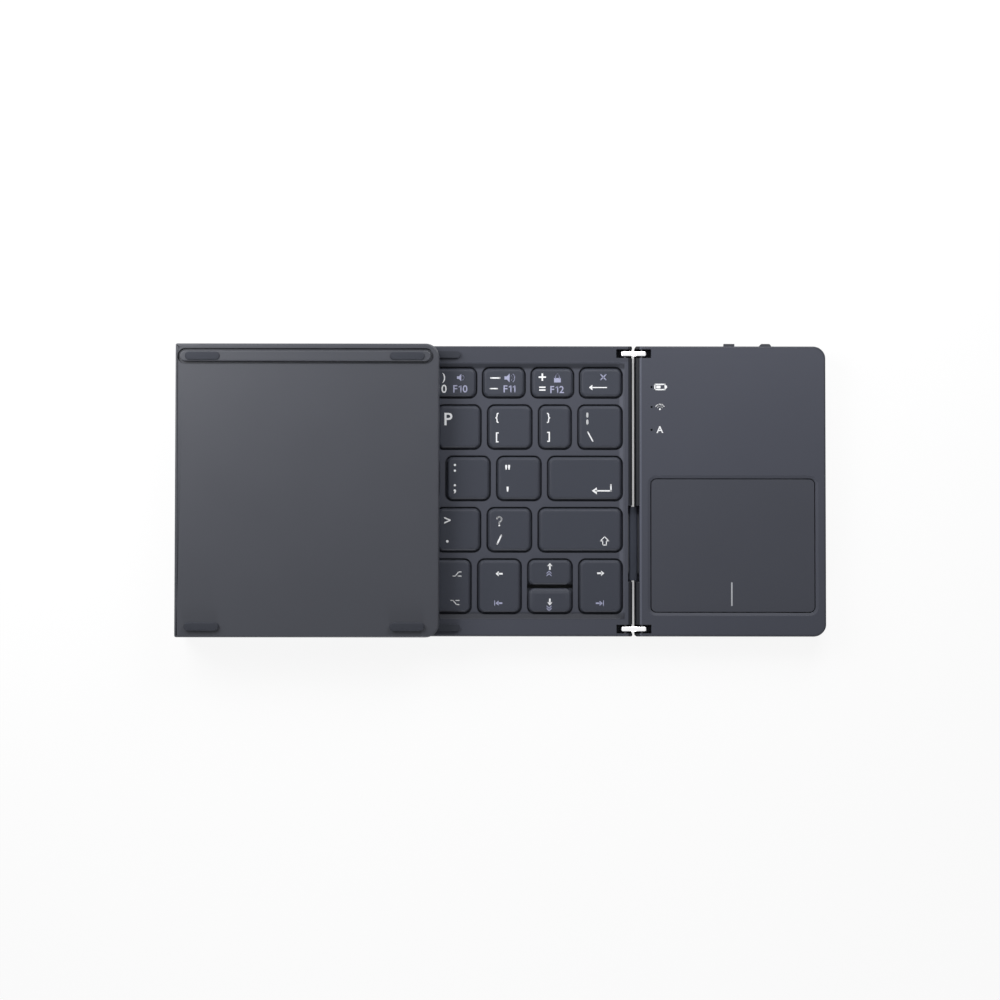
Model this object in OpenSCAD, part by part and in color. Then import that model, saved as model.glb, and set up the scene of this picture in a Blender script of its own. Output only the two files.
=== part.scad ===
// Folding keyboard in three panels, with a touchpad on its right wing.
// Millimetres. +X runs to the right, +Y to the rear, +Z up. The origin is the
// centre of the space that the keyboard takes on the desk in its drawn pose:
// left wing folded over the middle panel, right wing opened flat.
// A wing is drawn outward from its hinge, x = 0 being its hinge end.

/* [Panels] */
// Depth of every panel, front to rear
depth = 98; // [97:0.5:102]
// Width of the middle panel
middle_w = 153; // [150:0.5:160]
// Width of the left wing
left_w = 88; // [86:0.5:92]
// Width of the right wing
right_w = 64.3; // [63:0.1:70]
// Gap between two panels that lie flat
panel_gap = 1.0; // [0.8:0.1:1.4]
// Thickness of a panel without its feet
panel_t = 6.8; // [6.6:0.1:7.6]
// Corner radius at the free end of a wing
corner_r = 4.5; // [3:0.1:6]
// Corner radius at a hinge end
hinge_corner_r = 0.6; // [0.4:0.1:1]
// Rounding of the long edges
edge_r = 0.6; // [0.3:0.1:0.9]
// Rounding of the top edge at a hinge end, which lets the panels swing past
swing_r = 1.2; // [1:0.05:1.4]

/* [Walls] */
// Front, rear and free end walls
wall = 1.3; // [1:0.1:1.6]
// Wall at a hinge end
end_wall = 2.6; // [2.5:0.05:2.8]
// Floor of the bottom case
floor_t = 1.2; // [1:0.05:1.3]
// Height of the bottom case's own edge
tray_h = 1.8; // [1.7:0.05:2]
// Height of the locating lip above the tray's edge
lip_h = 0.6; // [0.4:0.1:0.8]
// Thickness of the locating lip
lip_t = 0.8; // [0.6:0.1:1]
// Clearance between the lip and the cover
lip_clear = 0.1; // [0.05:0.05:0.2]

/* [Key field] */
// Rim behind the key field
rim_rear = 5.4; // [5.2:0.1:5.6]
// Rim in front of the key field
rim_front = 5.8; // [5.6:0.1:6]
// Rim at each end of the key field
rim_x = 2.6; // [2.4:0.1:2.8]
// Drop from the rim to the web between the keys
recess = 0.7; // [0.5:0.05:0.8]
// Width of the slope from rim to web
slope = 1.9; // [1.4:0.1:2]
// Thickness of the web between the keys
web_t = 1.1; // [1:0.05:1.2]
// From the end of a panel to its first key
key_margin = 3.5; // [3.4:0.05:3.8]
// From the rear edge to the first row
first_row = 7.35; // [7.35:0.05:7.8]
// Depth of the number row
number_row = 10.1; // [9.5:0.1:10.1]
// From the space row to the front edge
front_margin = 7.75; // [7.6:0.05:8.2]
// Depth of the space row
space_row = 18.2; // [17.5:0.1:18.3]
// Web between two rows
row_gap = 2.55; // [2.3:0.05:2.6]
// Web between two keys of a letter row
col_gap = 2.4; // [2:0.05:2.6]
// Web between two keys of the number row
number_gap = 2.15; // [2:0.05:2.3]
// Width of a number key
number_key = 14.25; // [14:0.05:14.3]
// Width of a letter key
letter_key = 14.8; // [14.4:0.05:14.8]
// Width of the closing bracket's key
narrow_key = 10.9; // [10.5:0.05:11.2]
// Width of the enter key
enter_key = 25; // [24:0.05:25.2]
// Width of a shift key
shift_key = 28.2; // [27.5:0.05:28.4]
// Width of the keys beside the arrow column
arrow_key = 14.5; // [14:0.05:14.6]
// Corner radius of a key
key_r = 2.3; // [1.5:0.1:2.6]

/* [Keycaps] */
// Clear gap between a keycap and its hole
key_clear = 0.7; // [0.6:0.05:0.75]
// Keycap's top below the rim
key_sink = 0.1; // [0.05:0.05:0.3]
// Thickness of a keycap's top
cap_t = 1.0; // [0.8:0.1:1.2]
// Thickness of a keycap's skirt
skirt_t = 0.9; // [0.7:0.1:1.1]
// Rounding of a keycap's upper edge
cap_edge = 0.4; // [0.3:0.05:0.5]
// Reach of the flange that keeps a keycap in its hole
flange = 0.4; // [0.35:0.05:0.45]
// Thickness of that flange
flange_t = 0.6; // [0.4:0.05:0.6]
// Gap between the flange and the web above it
flange_clear = 0.3; // [0.2:0.05:0.35]
// Radius of the plunger under a keycap
plunger_r = 1.5; // [1.2:0.1:1.8]

/* [Switch stack] */
// Thickness of the metal support plate
plate_t = 0.5; // [0.4:0.05:0.5]
// Thickness of the printed membrane
membrane_t = 0.4; // [0.3:0.05:0.4]
// Thickness of the dome sheet between its domes
sheet_t = 0.3; // [0.2:0.05:0.3]
// Radius at the foot of a dome
dome_r = 3; // [2.6:0.1:3.2]
// Clearance of the stack in its panel
stack_clear = 0.4; // [0.3:0.1:0.6]

/* [Hinges] */
// Distance from a pivot to the end of its panel
pivot_in = 2.3; // [2.25:0.05:2.4]
// Depth of a pivot below the rim
pivot_down = 2.2; // [2.15:0.05:2.25]
// Diameter of a hinge pin
pin_d = 1.2; // [1:0.1:1.4]
// Radial running clearance of a link on its pin
pin_clear = 0.04; // [0.02:0.01:0.08]
// Radius of a link's round ends
link_r = 1.75; // [1.6:0.05:1.8]
// Width of a link
link_w = 1.8; // [1.6:0.1:2]
// Distance from a panel's edge to the middle of a link
link_inset = 2.5; // [2.4:0.05:2.6]
// Width of the slot that a link lies in
slot_w = 3.0; // [2.8:0.1:3.2]
// Clearance under and beyond a link in its slot
slot_clear = 0.35; // [0.25:0.05:0.4]
// Length of the slot from the end of the panel
slot_len = 5.4; // [5:0.1:5.6]
// Wall between a slot and the inside of the panel
slot_wall = 1.4; // [1.2:0.1:1.5]
// Depth of the pin's seat in the outer cheek
pin_seat = 0.7; // [0.5:0.05:0.75]

/* [Cable bridge] */
// Length of the cable bridge
bridge_l = 25; // [22:0.5:28]
// Width of the cable bridge
bridge_w = 2.9; // [2.6:0.1:3]
// Distance of the bridge in front of the panel's centre line
bridge_front = 17.7; // [15:0.1:20]
// Height of the bridge's top below the pivots
bridge_down = 1.0; // [0.95:0.05:1.1]
// Thickness of the bridge
bridge_t = 1.3; // [1.2:0.05:1.3]
// Depth of the notch that takes the bridge, into each panel
notch_in = 1.5; // [1.45:0.05:1.55]
// Clearance around the bridge in its notch
notch_clear = 0.4; // [0.3:0.05:0.5]
// Thickness of the flat cable
flex_t = 0.2; // [0.15:0.05:0.2]
// From each end of the bridge to the flat cable in it
flex_side = 2.5; // [2:0.5:3]
// Clearance of the flat cable in the slots it runs through
flex_clear = 0.1; // [0.08:0.01:0.12]

/* [Feet] */
// Height of the raised bar along the rear of a panel's underside
bar_h = 0.8; // [0.5:0.1:1]
// Depth of the bar, front to rear
bar_w = 4.35; // [4:0.05:5]
// Distance from the rear edge to the middle of the bar
bar_inset = 3.85; // [3.6:0.05:4.2]
// Distance from a hinge end to the bar
bar_hinge_end = 1.6; // [1.4:0.1:2.5]
// Distance from a wing's free end to the bar
bar_free_end = 2.75; // [2.5:0.05:3.5]
// Height of the feet on the bar
rear_foot_h = 0.4; // [0.3:0.05:0.6]
// Length of a foot
foot_l = 11.6; // [10:0.1:13]
// Depth of a foot, front to rear
foot_w = 3.0; // [2.6:0.1:3.2]
// Distance from a hinge end to its feet
foot_hinge_end = 3.3; // [3:0.1:4]
// Distance from a wing's free end to its feet
foot_free_end = 4.8; // [4.5:0.1:6]
// Distance from the front edge to the middle of the front feet
foot_inset = 3.95; // [3.6:0.05:4.5]
// Length of a bumper between the folded wings and the middle panel
bumper_l = 13; // [11:0.5:15]
// Width of a bumper
bumper_w = 2.2; // [2:0.1:2.6]
// Distance from the edge to the middle of a bumper
bumper_inset = 2.95; // [2.7:0.05:3.2]
// Gap left between a bumper and the wing folded on it
bumper_clear = 0.3; // [0.2:0.05:0.4]

/* [Touchpad] */
// Width of the touchpad's opening
pad_w = 55.6; // [52:0.1:55.8]
// Distance from the touchpad's opening to the front edge
pad_front = 8; // [7.5:0.1:9]
// Distance from the hinge end to the opening
pad_x = 5.1; // [4.8:0.1:6]
// Distance from the rear edge to the opening
pad_rear = 44.7; // [44:0.1:46]
// Corner radius of the opening
pad_r = 2.0; // [1.5:0.1:3]
// Width of the chamfer around the opening
pad_chamfer = 1.0; // [0.6:0.1:1.2]
// Depth of that chamfer
pad_chamfer_h = 0.35; // [0.3:0.05:0.5]
// Gap around the touchpad
pad_clear = 0.3; // [0.25:0.05:0.4]
// Touchpad's surface below the cover
pad_sink = 0.3; // [0.2:0.05:0.4]
// Thickness of the touchpad's plate
pad_t = 1.0; // [0.8:0.1:1.2]
// Thickness of the sensor board under the plate
sensor_t = 0.8; // [0.6:0.1:1]
// Tongues that tuck under the cover: width, depth, and how much thinner they
// are than the sensor board
tuck = [6, 4, 0.25];
// Thickness of the right wing's cover
cover_t = 1.2; // [1:0.1:1.4]

/* [Rear controls] */
// Width of the power slider's knob
slider_w = 3.6; // [3:0.1:4]
// Distance from the hinge end to the slider at rest
slider_x = 30.1; // [28:0.1:33]
// Travel of the slider
slider_travel = 2; // [1.5:0.1:2.5]
// Width of the pairing button
button_w = 3.9; // [3.4:0.1:4.4]
// Distance from the hinge end to the pairing button
button_x = 42.2; // [40:0.1:46]
// Travel of the pairing button
button_travel = 0.4; // [0.3:0.05:0.5]
// How far both stand out of the rear wall
knob_proud = 0.95; // [0.7:0.05:1.2]
// Height of both
knob_h = 1.8; // [1.4:0.1:2]
// Chamfer on the button's outer corners
button_chamfer = 0.6; // [0.4:0.1:0.8]
// How far the flange behind the wall hangs below a knob
flange_drop = 0.8; // [0.7:0.1:1]
// Gap around both in the rear wall
knob_clear = 0.3; // [0.2:0.05:0.35]

/* [Electronics] */
// From the wall at the hinge end to the main board
board_margin = 5; // [4.5:0.5:6]
// Gap between the main board and the floor under it
board_lift = 1.2; // [1:0.1:1.4]
// Gap between the main board and the locating lip behind it
board_clear = 0.4; // [0.3:0.1:0.6]
// Width of the main board
board_w = 50; // [46:0.5:52]
// Depth of the main board
board_l = 15; // [14:0.5:16]
// Thickness of the main board
board_t = 0.8; // [0.6:0.1:1]
// How far the lamps' tongue runs into the board
tab_in = 1; // [0.5:0.5:2]
// Gap between the lamps' tongue and the battery
battery_clear = 1.55; // [1:0.05:2]
// Gap between the main board and the battery in front of it
battery_gap = 1; // [0.8:0.1:1.5]
// Width of the battery
battery_w = 44; // [40:0.5:46]
// Depth of the battery
battery_l = 20; // [18:0.5:21]
// Thickness of the battery
battery_t = 3.4; // [3:0.1:3.6]
// Width of the charging socket
socket_w = 8.94; // [8.94]
// Height of the charging socket
socket_h = 3.2; // [3.2]
// Depth of the charging socket
socket_l = 7.3; // [7:0.1:7.5]
// Tongue inside the socket
tongue = [6.4, 5.8, 0.7];
// Distance from the hinge end to the middle of the charging socket
socket_x = 18; // [16:0.5:20]
// Gap between the board and the knobs in front of it
knob_lift = 0.3; // [0.2:0.05:0.4]
// Controller, crystal and indicator lamp on the board: width, depth, height
controller = [6, 6, 1];
crystal = [4, 3, 0.8];
lamp = [1.6, 0.8, 0.6];
// Radius of an indicator's pinhole
pinhole_r = 0.35; // [0.3:0.05:0.5]
// Distance from the hinge end to the pinholes
pinhole_x = 5.5; // [5.2:0.1:6]
// Distances from the rear edge to the pinholes
pinhole_rear = [13.8, 20.6, 28.3];

/* [Hidden] */
$fn = 48;
cut = 1;

// Heights above the desk
foot_h = bar_h + rear_foot_h;
z_floor = foot_h + floor_t;
z_split = foot_h + tray_h;
z_top = foot_h + panel_t;
z_web = z_top - recess;
z_under = z_web - web_t;
z_pivot = z_top - pivot_down;
z_slot = z_pivot - link_r - slot_clear;
z_bridge = z_pivot - bridge_down - bridge_t;
z_notch = z_bridge - slot_clear;
z_flex = z_bridge + bridge_t / 2 - flex_t / 2;
z_plate = z_floor;
z_membrane = z_plate + plate_t;
z_sheet = z_membrane + membrane_t;
z_dome = z_sheet + sheet_t;
z_flange = z_under - flange_clear - flange_t;
z_cap = z_top - key_sink;
z_plunger = z_flange - 0.1;
dome_clear = 0.05;
dome_top_r = plunger_r + 0.1;

// Hinge
pivot_gap = 2 * pivot_in + panel_gap;
fold_gap = pivot_gap - 2 * pivot_down;
link_y = depth / 2 - link_inset;
block_x = slot_len + slot_wall;
block_y = link_inset + slot_w / 2 + slot_wall;
pin_l = pin_seat + slot_w + slot_wall;
bridge_y = -bridge_front;
flex_w = bridge_l - 2 * flex_side;
flex_in = end_wall + 0.3;

// Depth of the touchpad's opening
pad_l = depth - pad_rear - pad_front;

// Places of the panels
total_w = middle_w + panel_gap + right_w;
middle_x = -total_w / 2;
right_x = total_w / 2 - right_w;
panel_y = -knob_proud / 2;

// Key rows, each as the distance from the rear edge, its depth, the web
// between its keys, and the widths of its keys from the right. A last key
// takes what is left of the field.
letter_row = (depth - first_row - number_row - space_row - front_margin - 4 * row_gap) / 3;
y_letters = first_row + number_row + row_gap;
row_pitch = letter_row + row_gap;
y_space = y_letters + 3 * row_pitch;
MIDDLE_ROWS = [
    [first_row, number_row, number_gap, [for (i = [0:7]) number_key]],
    [y_letters, letter_row, col_gap,
        [letter_key, narrow_key, for (i = [0:5]) letter_key]],
    [y_letters + row_pitch, letter_row, col_gap,
        [enter_key, for (i = [0:5]) letter_key]],
    [y_letters + 2 * row_pitch, letter_row, col_gap,
        [shift_key, for (i = [0:5]) letter_key]],
    [y_space, space_row, col_gap,
        [arrow_key, letter_key, arrow_key, arrow_key, arrow_key]]
];
LEFT_ROWS = [
    [first_row, number_row, number_gap, [for (i = [0:3]) number_key]],
    [y_letters, letter_row, col_gap, [for (i = [0:3]) letter_key]],
    [y_letters + row_pitch, letter_row, col_gap, [for (i = [0:3]) letter_key]],
    [y_letters + 2 * row_pitch, letter_row, col_gap,
        [for (i = [0:2]) letter_key]],
    [y_space, space_row, col_gap, [shift_key, letter_key, letter_key]]
];
function sum(v, n) = n <= 0 ? 0 : v[n - 1] + sum(v, n - 1);
function key_start(row, i) = key_margin + sum(row[3], i) + i * row[2];
function key_width(row, i, panel_w) =
    i < len(row[3]) ? row[3][i] : panel_w - key_margin - key_start(row, i);
function key_count(row) = len(row[3]) + 1;
// One key as [distance from the right or hinge end, width, distance from the
// rear edge, depth]
function key_place(row, i, panel_w) =
    [key_start(row, i), key_width(row, i, panel_w), row[0], row[1]];

// The two half keys of the arrow column, whose hole they share
arrow_row = 4;
arrow_column = 1;
function half_key(place, rear) = let (half = (place[3] - key_clear) / 2)
    [place[0], place[1], rear ? place[2] : place[2] + half + key_clear, half];

// Keys of the middle panel that have a node each: name, row, column
SINGLE_KEYS = [
    ["key_delete", 0, 0], ["key_equals", 0, 1], ["key_minus", 0, 2],
    ["key_zero", 0, 3],
    ["key_backslash", 1, 0], ["key_bracket_right", 1, 1],
    ["key_bracket_left", 1, 2], ["key_p", 1, 3],
    ["key_enter", 2, 0], ["key_quote", 2, 1], ["key_semicolon", 2, 2],
    ["key_shift", 3, 0], ["key_slash", 3, 1], ["key_period", 3, 2],
    ["key_end", 4, 0], ["key_home", 4, 2], ["key_alt", 4, 3]
];
// Number of those in each row, counted from the right
SINGLE_IN_ROW = [4, 4, 3, 3, 4];
HALF_KEYS = [["key_up", true], ["key_down", false]];
ROW_NAMES = ["number", "tab", "caps", "shift", "space"];

// ---------------------------------------------------------------- outlines

// Rectangle whose four corners each have their own radius:
// r = [low x low y, high x low y, high x high y, low x high y]
module round_rect(low, high, r) {
    corners = [[low.x, low.y], [high.x, low.y], [high.x, high.y], [low.x, high.y]];
    inward = [[1, 1], [-1, 1], [-1, -1], [1, -1]];
    difference() {
        translate(low) square([high.x - low.x, high.y - low.y]);
        for (i = [0:3]) if (r[i] > 0) {
            centre = corners[i] + inward[i] * r[i];
            difference() {
                translate([min(corners[i].x - inward[i].x * cut, centre.x),
                           min(corners[i].y - inward[i].y * cut, centre.y)])
                    square(r[i] + cut);
                translate(centre) circle(r[i]);
            }
        }
    }
}

// Stretches a flat outline in (x, z) along y, from y0 over a length
module along_y(y0, length) {
    translate([0, y0 + length, 0]) rotate([90, 0, 0]) linear_extrude(length) children();
}

// Stretches a flat outline in (y, z) along x, from x0 over a length
module along_x(x0, length) {
    translate([x0, 0, 0]) rotate([90, 0, 90]) linear_extrude(length) children();
}

// Panel body between two heights, before anything is cut from it.
// free_end is true for a wing, whose far corners are round.
module panel_body(w, free_end) {
    far_r = free_end ? corner_r : hinge_corner_r;
    far_swing = free_end ? edge_r : swing_r;
    intersection() {
        translate([0, 0, foot_h]) linear_extrude(panel_t)
            round_rect([0, -depth / 2], [w, depth / 2],
                       [hinge_corner_r, far_r, far_r, hinge_corner_r]);
        along_y(-depth / 2 - cut, depth + 2 * cut)
            round_rect([0, foot_h], [w, z_top], [edge_r, edge_r, far_swing, swing_r]);
        along_x(-cut, w + 2 * cut)
            round_rect([-depth / 2, foot_h], [depth / 2, z_top],
                       [edge_r, edge_r, edge_r, edge_r]);
    }
}

// Keeps what lies between two heights
module between(z0, z1, w) {
    intersection() {
        children();
        translate([-cut, -depth, z0]) cube([w + 2 * cut, 2 * depth, z1 - z0]);
    }
}

// Inside of a panel in plan, drawn in by inset. It leaves a block in each
// corner at a hinge end, where the links are held.
module inside_plan(w, free_end, inset) {
    far_wall = free_end ? wall : end_wall;
    far_block = free_end ? wall : block_x;
    far_r = free_end ? corner_r - wall : 0;
    hy = depth / 2 - inset;
    translate([end_wall + inset, block_y - hy])
        square([w - end_wall - far_wall - 2 * inset, 2 * (hy - block_y)]);
    round_rect([block_x + inset, wall - hy], [w - far_block - inset, hy - wall],
               [0, far_r, far_r, 0]);
}

// What a hinge takes out of the end of a panel: two link slots with the seats
// of their pins, the notch of the cable bridge, and the flat cable's slot
module hinge_end_cut() {
    for (side = [-1, 1]) {
        translate([-cut, side * link_y - slot_w / 2, z_slot])
            cube([slot_len + cut, slot_w, z_top - z_slot + cut]);
        pin_hole(side);
    }
    translate([-cut, bridge_y - bridge_l / 2 - notch_clear, z_notch])
        cube([notch_in + cut, bridge_l + 2 * notch_clear, z_top - z_notch + cut]);
    translate([0, bridge_y - flex_w / 2 - notch_clear, z_flex - flex_clear])
        cube([end_wall + cut, flex_w + 2 * notch_clear, flex_t + 2 * flex_clear]);
}

// A pin's place and length at one side of a hinge end
module pin_hole(side) {
    low = side > 0 ? link_y - slot_w / 2 - slot_wall : -link_y - slot_w / 2 - pin_seat;
    translate([pivot_in, low, z_pivot]) rotate([-90, 0, 0]) cylinder(d = pin_d, h = pin_l);
}

module pins_at_end() {
    for (side = [-1, 1]) pin_hole(side);
}

// ---------------------------------------------------------------- placing

module at_middle() {
    translate([middle_x, panel_y, 0]) children();
}

// Far end of the middle panel, seen as a hinge end
module at_far_end(w) {
    translate([w, 0, 0]) mirror([1, 0, 0]) children();
}

module at_right() {
    translate([right_x, panel_y, 0]) children();
}

// The folded left wing lies upside down over the middle panel
module at_left() {
    translate([middle_x, panel_y, z_pivot + pivot_gap]) mirror([0, 0, 1])
        translate([0, 0, -z_pivot]) children();
}

// ---------------------------------------------------------------- key field

// Outline of one key's place, made larger all round by grow. x runs from the
// end that the rows are counted from.
module key_outline(place, grow, r) {
    radius = r + grow;
    round_rect([place[0] - grow, depth / 2 - place[2] - place[3] - grow],
               [place[0] + place[1] + grow, depth / 2 - place[2] + grow],
               [radius, radius, radius, radius]);
}

module key_holes(rows, panel_w) {
    for (row = rows, i = [0:key_count(row) - 1])
        key_outline(key_place(row, i, panel_w), key_clear / 2, key_r);
}

// Sunken field with its sloping edge
module field_recess(w) {
    hull() {
        for (step = [0, 1]) translate([0, 0, z_web + step * (recess + 0.01)])
            linear_extrude(0.01) {
                draw = (1 - step) * slope;
                round_rect([rim_x + draw, rim_front + draw - depth / 2],
                           [w - rim_x - draw, depth / 2 - rim_rear - draw],
                           [key_r, key_r, key_r, key_r], $fn = 24);
            }
    }
}

// Cover with the web that the keys stand in
module key_frame(w, rows, free_end) {
    difference() {
        between(z_split, z_top + cut, w) panel_body(w, free_end);
        translate([0, 0, z_split - cut]) linear_extrude(z_under - z_split + cut)
            inside_plan(w, free_end, 0);
        field_recess(w);
        translate([0, 0, z_under - cut]) linear_extrude(web_t + 2 * cut)
            if (free_end) key_holes(rows, w);
            else at_far_end_flat(w) key_holes(rows, w);
        hinge_end_cut();
        if (!free_end) at_far_end(w) hinge_end_cut();
    }
}

module at_far_end_flat(w) {
    translate([w, 0]) mirror([1, 0]) children();
}

// One keycap, with its plunger and the flange that keeps it in its hole
module keycap(place) {
    inner = max(key_r - key_clear / 2, 0.5);
    difference() {
        union() {
            translate([0, 0, z_flange]) linear_extrude(z_cap - cap_edge - z_flange)
                key_outline(place, -key_clear / 2, key_r);
            hull() {
                translate([0, 0, z_cap - cap_edge - 0.01]) linear_extrude(0.01)
                    key_outline(place, -key_clear / 2, key_r, $fn = 24);
                translate([0, 0, z_cap - 0.01]) linear_extrude(0.01)
                    key_outline(place, -key_clear / 2 - cap_edge, key_r, $fn = 24);
            }
            translate([0, 0, z_flange]) linear_extrude(flange_t)
                key_outline(place, key_clear / 2 + flange, key_r);
        }
        translate([0, 0, z_flange - cut]) linear_extrude(z_cap - cap_t - z_flange + cut)
            key_outline(place, -key_clear / 2 - skirt_t, inner + skirt_t);
    }
    translate([place[0] + place[1] / 2, depth / 2 - place[2] - place[3] / 2, z_plunger])
        cylinder(r = plunger_r, h = z_cap - cap_t - z_plunger + 0.1);
}

module middle_key(place) {
    color("slategray") at_middle() at_far_end(middle_w) keycap(place);
}

// The flange is left off where the two halves face each other
module half_keycap(rear) {
    place = half_key(key_place(MIDDLE_ROWS[arrow_row], arrow_column, middle_w), rear);
    reach = key_clear + flange + cut;
    edge = depth / 2 - place[2] - (rear ? place[3] - key_clear / 2 : key_clear / 2);
    color("slategray") at_middle() at_far_end(middle_w) difference() {
        keycap(place);
        translate([place[0] - reach, rear ? edge - reach : edge, z_flange - cut])
            cube([place[1] + 2 * reach, reach, flange_t + cut + 0.01]);
    }
}

// Keys of one row of the middle panel that the folded left wing covers
module middle_hidden_keys(r) {
    row = MIDDLE_ROWS[r];
    for (i = [SINGLE_IN_ROW[r]:key_count(row) - 1]) middle_key(key_place(row, i, middle_w));
}

module left_row_keys(r) {
    row = LEFT_ROWS[r];
    color("slategray") at_left()
        for (i = [0:key_count(row) - 1]) keycap(key_place(row, i, left_w));
}

// ---------------------------------------------------------------- switch stack

module stack_layer(w, free_end, z, t) {
    translate([0, 0, z]) linear_extrude(t) inside_plan(w, free_end, stack_clear + lip_t);
}

module dome_at(place) {
    translate([place[0] + place[1] / 2, depth / 2 - place[2] - place[3] / 2, z_sheet])
        cylinder(r1 = dome_r, r2 = dome_top_r, h = z_plunger - dome_clear - z_sheet);
}

module domes(w, rows, free_end, split_row) {
    stack_layer(w, free_end, z_sheet, sheet_t);
    for (r = [0:len(rows) - 1], i = [0:key_count(rows[r]) - 1]) {
        place = key_place(rows[r], i, w);
        if (r == split_row && i == arrow_column)
            for (rear = [true, false]) dome_at(half_key(place, rear));
        else
            dome_at(place);
    }
}

// ---------------------------------------------------------------- bottoms

// Raised bar along the rear of a panel's underside, with round ends
module rear_bar(w, free_end) {
    x1 = w - (free_end ? bar_free_end : bar_hinge_end);
    y = depth / 2 - bar_inset;
    r = bar_w / 2;
    translate([0, 0, rear_foot_h]) linear_extrude(bar_h + floor_t / 2)
        round_rect([bar_hinge_end, y - r], [x1, y + r], [r, r, r, r]);
}

module bottom_case(w, free_end) {
    between(foot_h, z_split, w) difference() {
        panel_body(w, free_end);
        translate([0, 0, z_floor]) linear_extrude(panel_t) inside_plan(w, free_end, 0);
    }
    translate([0, 0, z_floor]) linear_extrude(z_split + lip_h - z_floor) difference() {
        inside_plan(w, free_end, lip_clear);
        inside_plan(w, free_end, lip_clear + lip_t);
    }
    translate([0, 0, z_floor - floor_t / 2]) linear_extrude(floor_t / 2)
        inside_plan(w, free_end, 0);
    rear_bar(w, free_end);
}

module one_foot(x, y, h) {
    r = foot_w / 4;
    translate([x, y - foot_w / 2, 0]) linear_extrude(h)
        round_rect([0, 0], [foot_l, foot_w], [r, r, r, r]);
}

module feet(w, free_end) {
    far = w - (free_end ? foot_free_end : foot_hinge_end) - foot_l;
    for (x = [foot_hinge_end, far]) {
        one_foot(x, depth / 2 - bar_inset, rear_foot_h);
        one_foot(x, foot_inset - depth / 2, foot_h);
    }
}

// ---------------------------------------------------------------- hinges

// Hinge parts are drawn from the panel's pivot, with the wing's pivot at
// x = pivot_gap, and put in the pose by the two modules below
module link() {
    difference() {
        along_y(-link_w / 2, link_w)
            round_rect([-link_r, -link_r], [pivot_gap + link_r, link_r],
                       [link_r, link_r, link_r, link_r]);
        for (x = [0, pivot_gap]) translate([x, -link_w, 0]) rotate([-90, 0, 0])
            cylinder(d = pin_d + 2 * pin_clear, h = 2 * link_w);
    }
}

module links() {
    for (side = [-1, 1]) translate([0, side * link_y, 0]) link();
}

module cable_bridge() {
    r = bridge_t / 2 - 0.05;
    z0 = -bridge_down - bridge_t;
    middle = pivot_gap / 2;
    difference() {
        translate([0, bridge_y, 0]) along_y(-bridge_l / 2, bridge_l)
            round_rect([middle - bridge_w / 2, z0], [middle + bridge_w / 2, -bridge_down],
                       [r, r, r, r]);
        translate([middle - bridge_w, bridge_y - flex_w / 2 - flex_clear,
                   z_flex - z_pivot - flex_clear])
            cube([2 * bridge_w, flex_w + 2 * flex_clear, flex_t + 2 * flex_clear]);
    }
}

// Flat cable through an open hinge
module flat_flex() {
    reach = flex_in - pivot_in;
    translate([-reach, bridge_y - flex_w / 2, z_flex - z_pivot])
        cube([pivot_gap + 2 * reach, flex_w, flex_t]);
}

// Flat cable through a folded hinge: in from one panel, up through the
// bridge and back into the wing above
module folded_flex() {
    z = z_flex - z_pivot;
    rise = pivot_gap - 2 * z;
    translate([z, bridge_y - flex_w / 2, z]) cube([flex_t, flex_w, rise]);
    for (top = [0, 1]) translate([z, bridge_y - flex_w / 2, top ? z + rise - flex_t : z])
        cube([flex_in - pivot_in - z, flex_w, flex_t]);
}

module at_right_hinge() {
    translate([middle_x + middle_w - pivot_in, panel_y, z_pivot]) children();
}

module at_left_pivot() {
    translate([middle_x + pivot_in, panel_y, z_pivot]) children();
}

module at_left_hinge() {
    at_left_pivot() mirror([1, 0, -1]) children();
}

// ---------------------------------------------------------------- right wing

module pad_plan(grow, r) {
    y1 = depth / 2 - pad_rear;
    round_rect([pad_x - grow, y1 - pad_l - grow], [pad_x + pad_w + grow, y1 + grow],
               [r, r, r, r]);
}

board_z = z_floor + board_lift;
board_x = end_wall + board_margin;
board_y = depth / 2 - wall - lip_clear - lip_t - board_clear - board_l;
battery_x = board_x + tab_in + battery_clear;
knob_z = board_z + board_t + knob_lift;
knob_y = depth / 2 - wall - lip_t;
knob_l = wall + lip_t + knob_proud;
socket_z = board_z + board_t / 2 - socket_h / 2 + 1;

// What the rear controls and the charging socket need in the rear wall
module rear_wall_cut() {
    y = depth / 2 - 2 * wall;
    z0 = knob_z - knob_clear;
    h = knob_h + 2 * knob_clear;
    translate([slider_x - knob_clear, y, z0])
        cube([slider_w + slider_travel + 2 * knob_clear, 3 * wall, h]);
    translate([button_x - knob_clear, y, z0]) cube([button_w + 2 * knob_clear, 3 * wall, h]);
    translate([0, y, 0]) socket_shape(3 * wall, 0.1);
}

module socket_shape(length, grow) {
    r = socket_h / 2 + grow - 0.05;
    along_y(0, length)
        round_rect([socket_x - socket_w / 2 - grow, socket_z - grow],
                   [socket_x + socket_w / 2 + grow, socket_z + socket_h + grow],
                   [r, r, r, r]);
}

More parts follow.
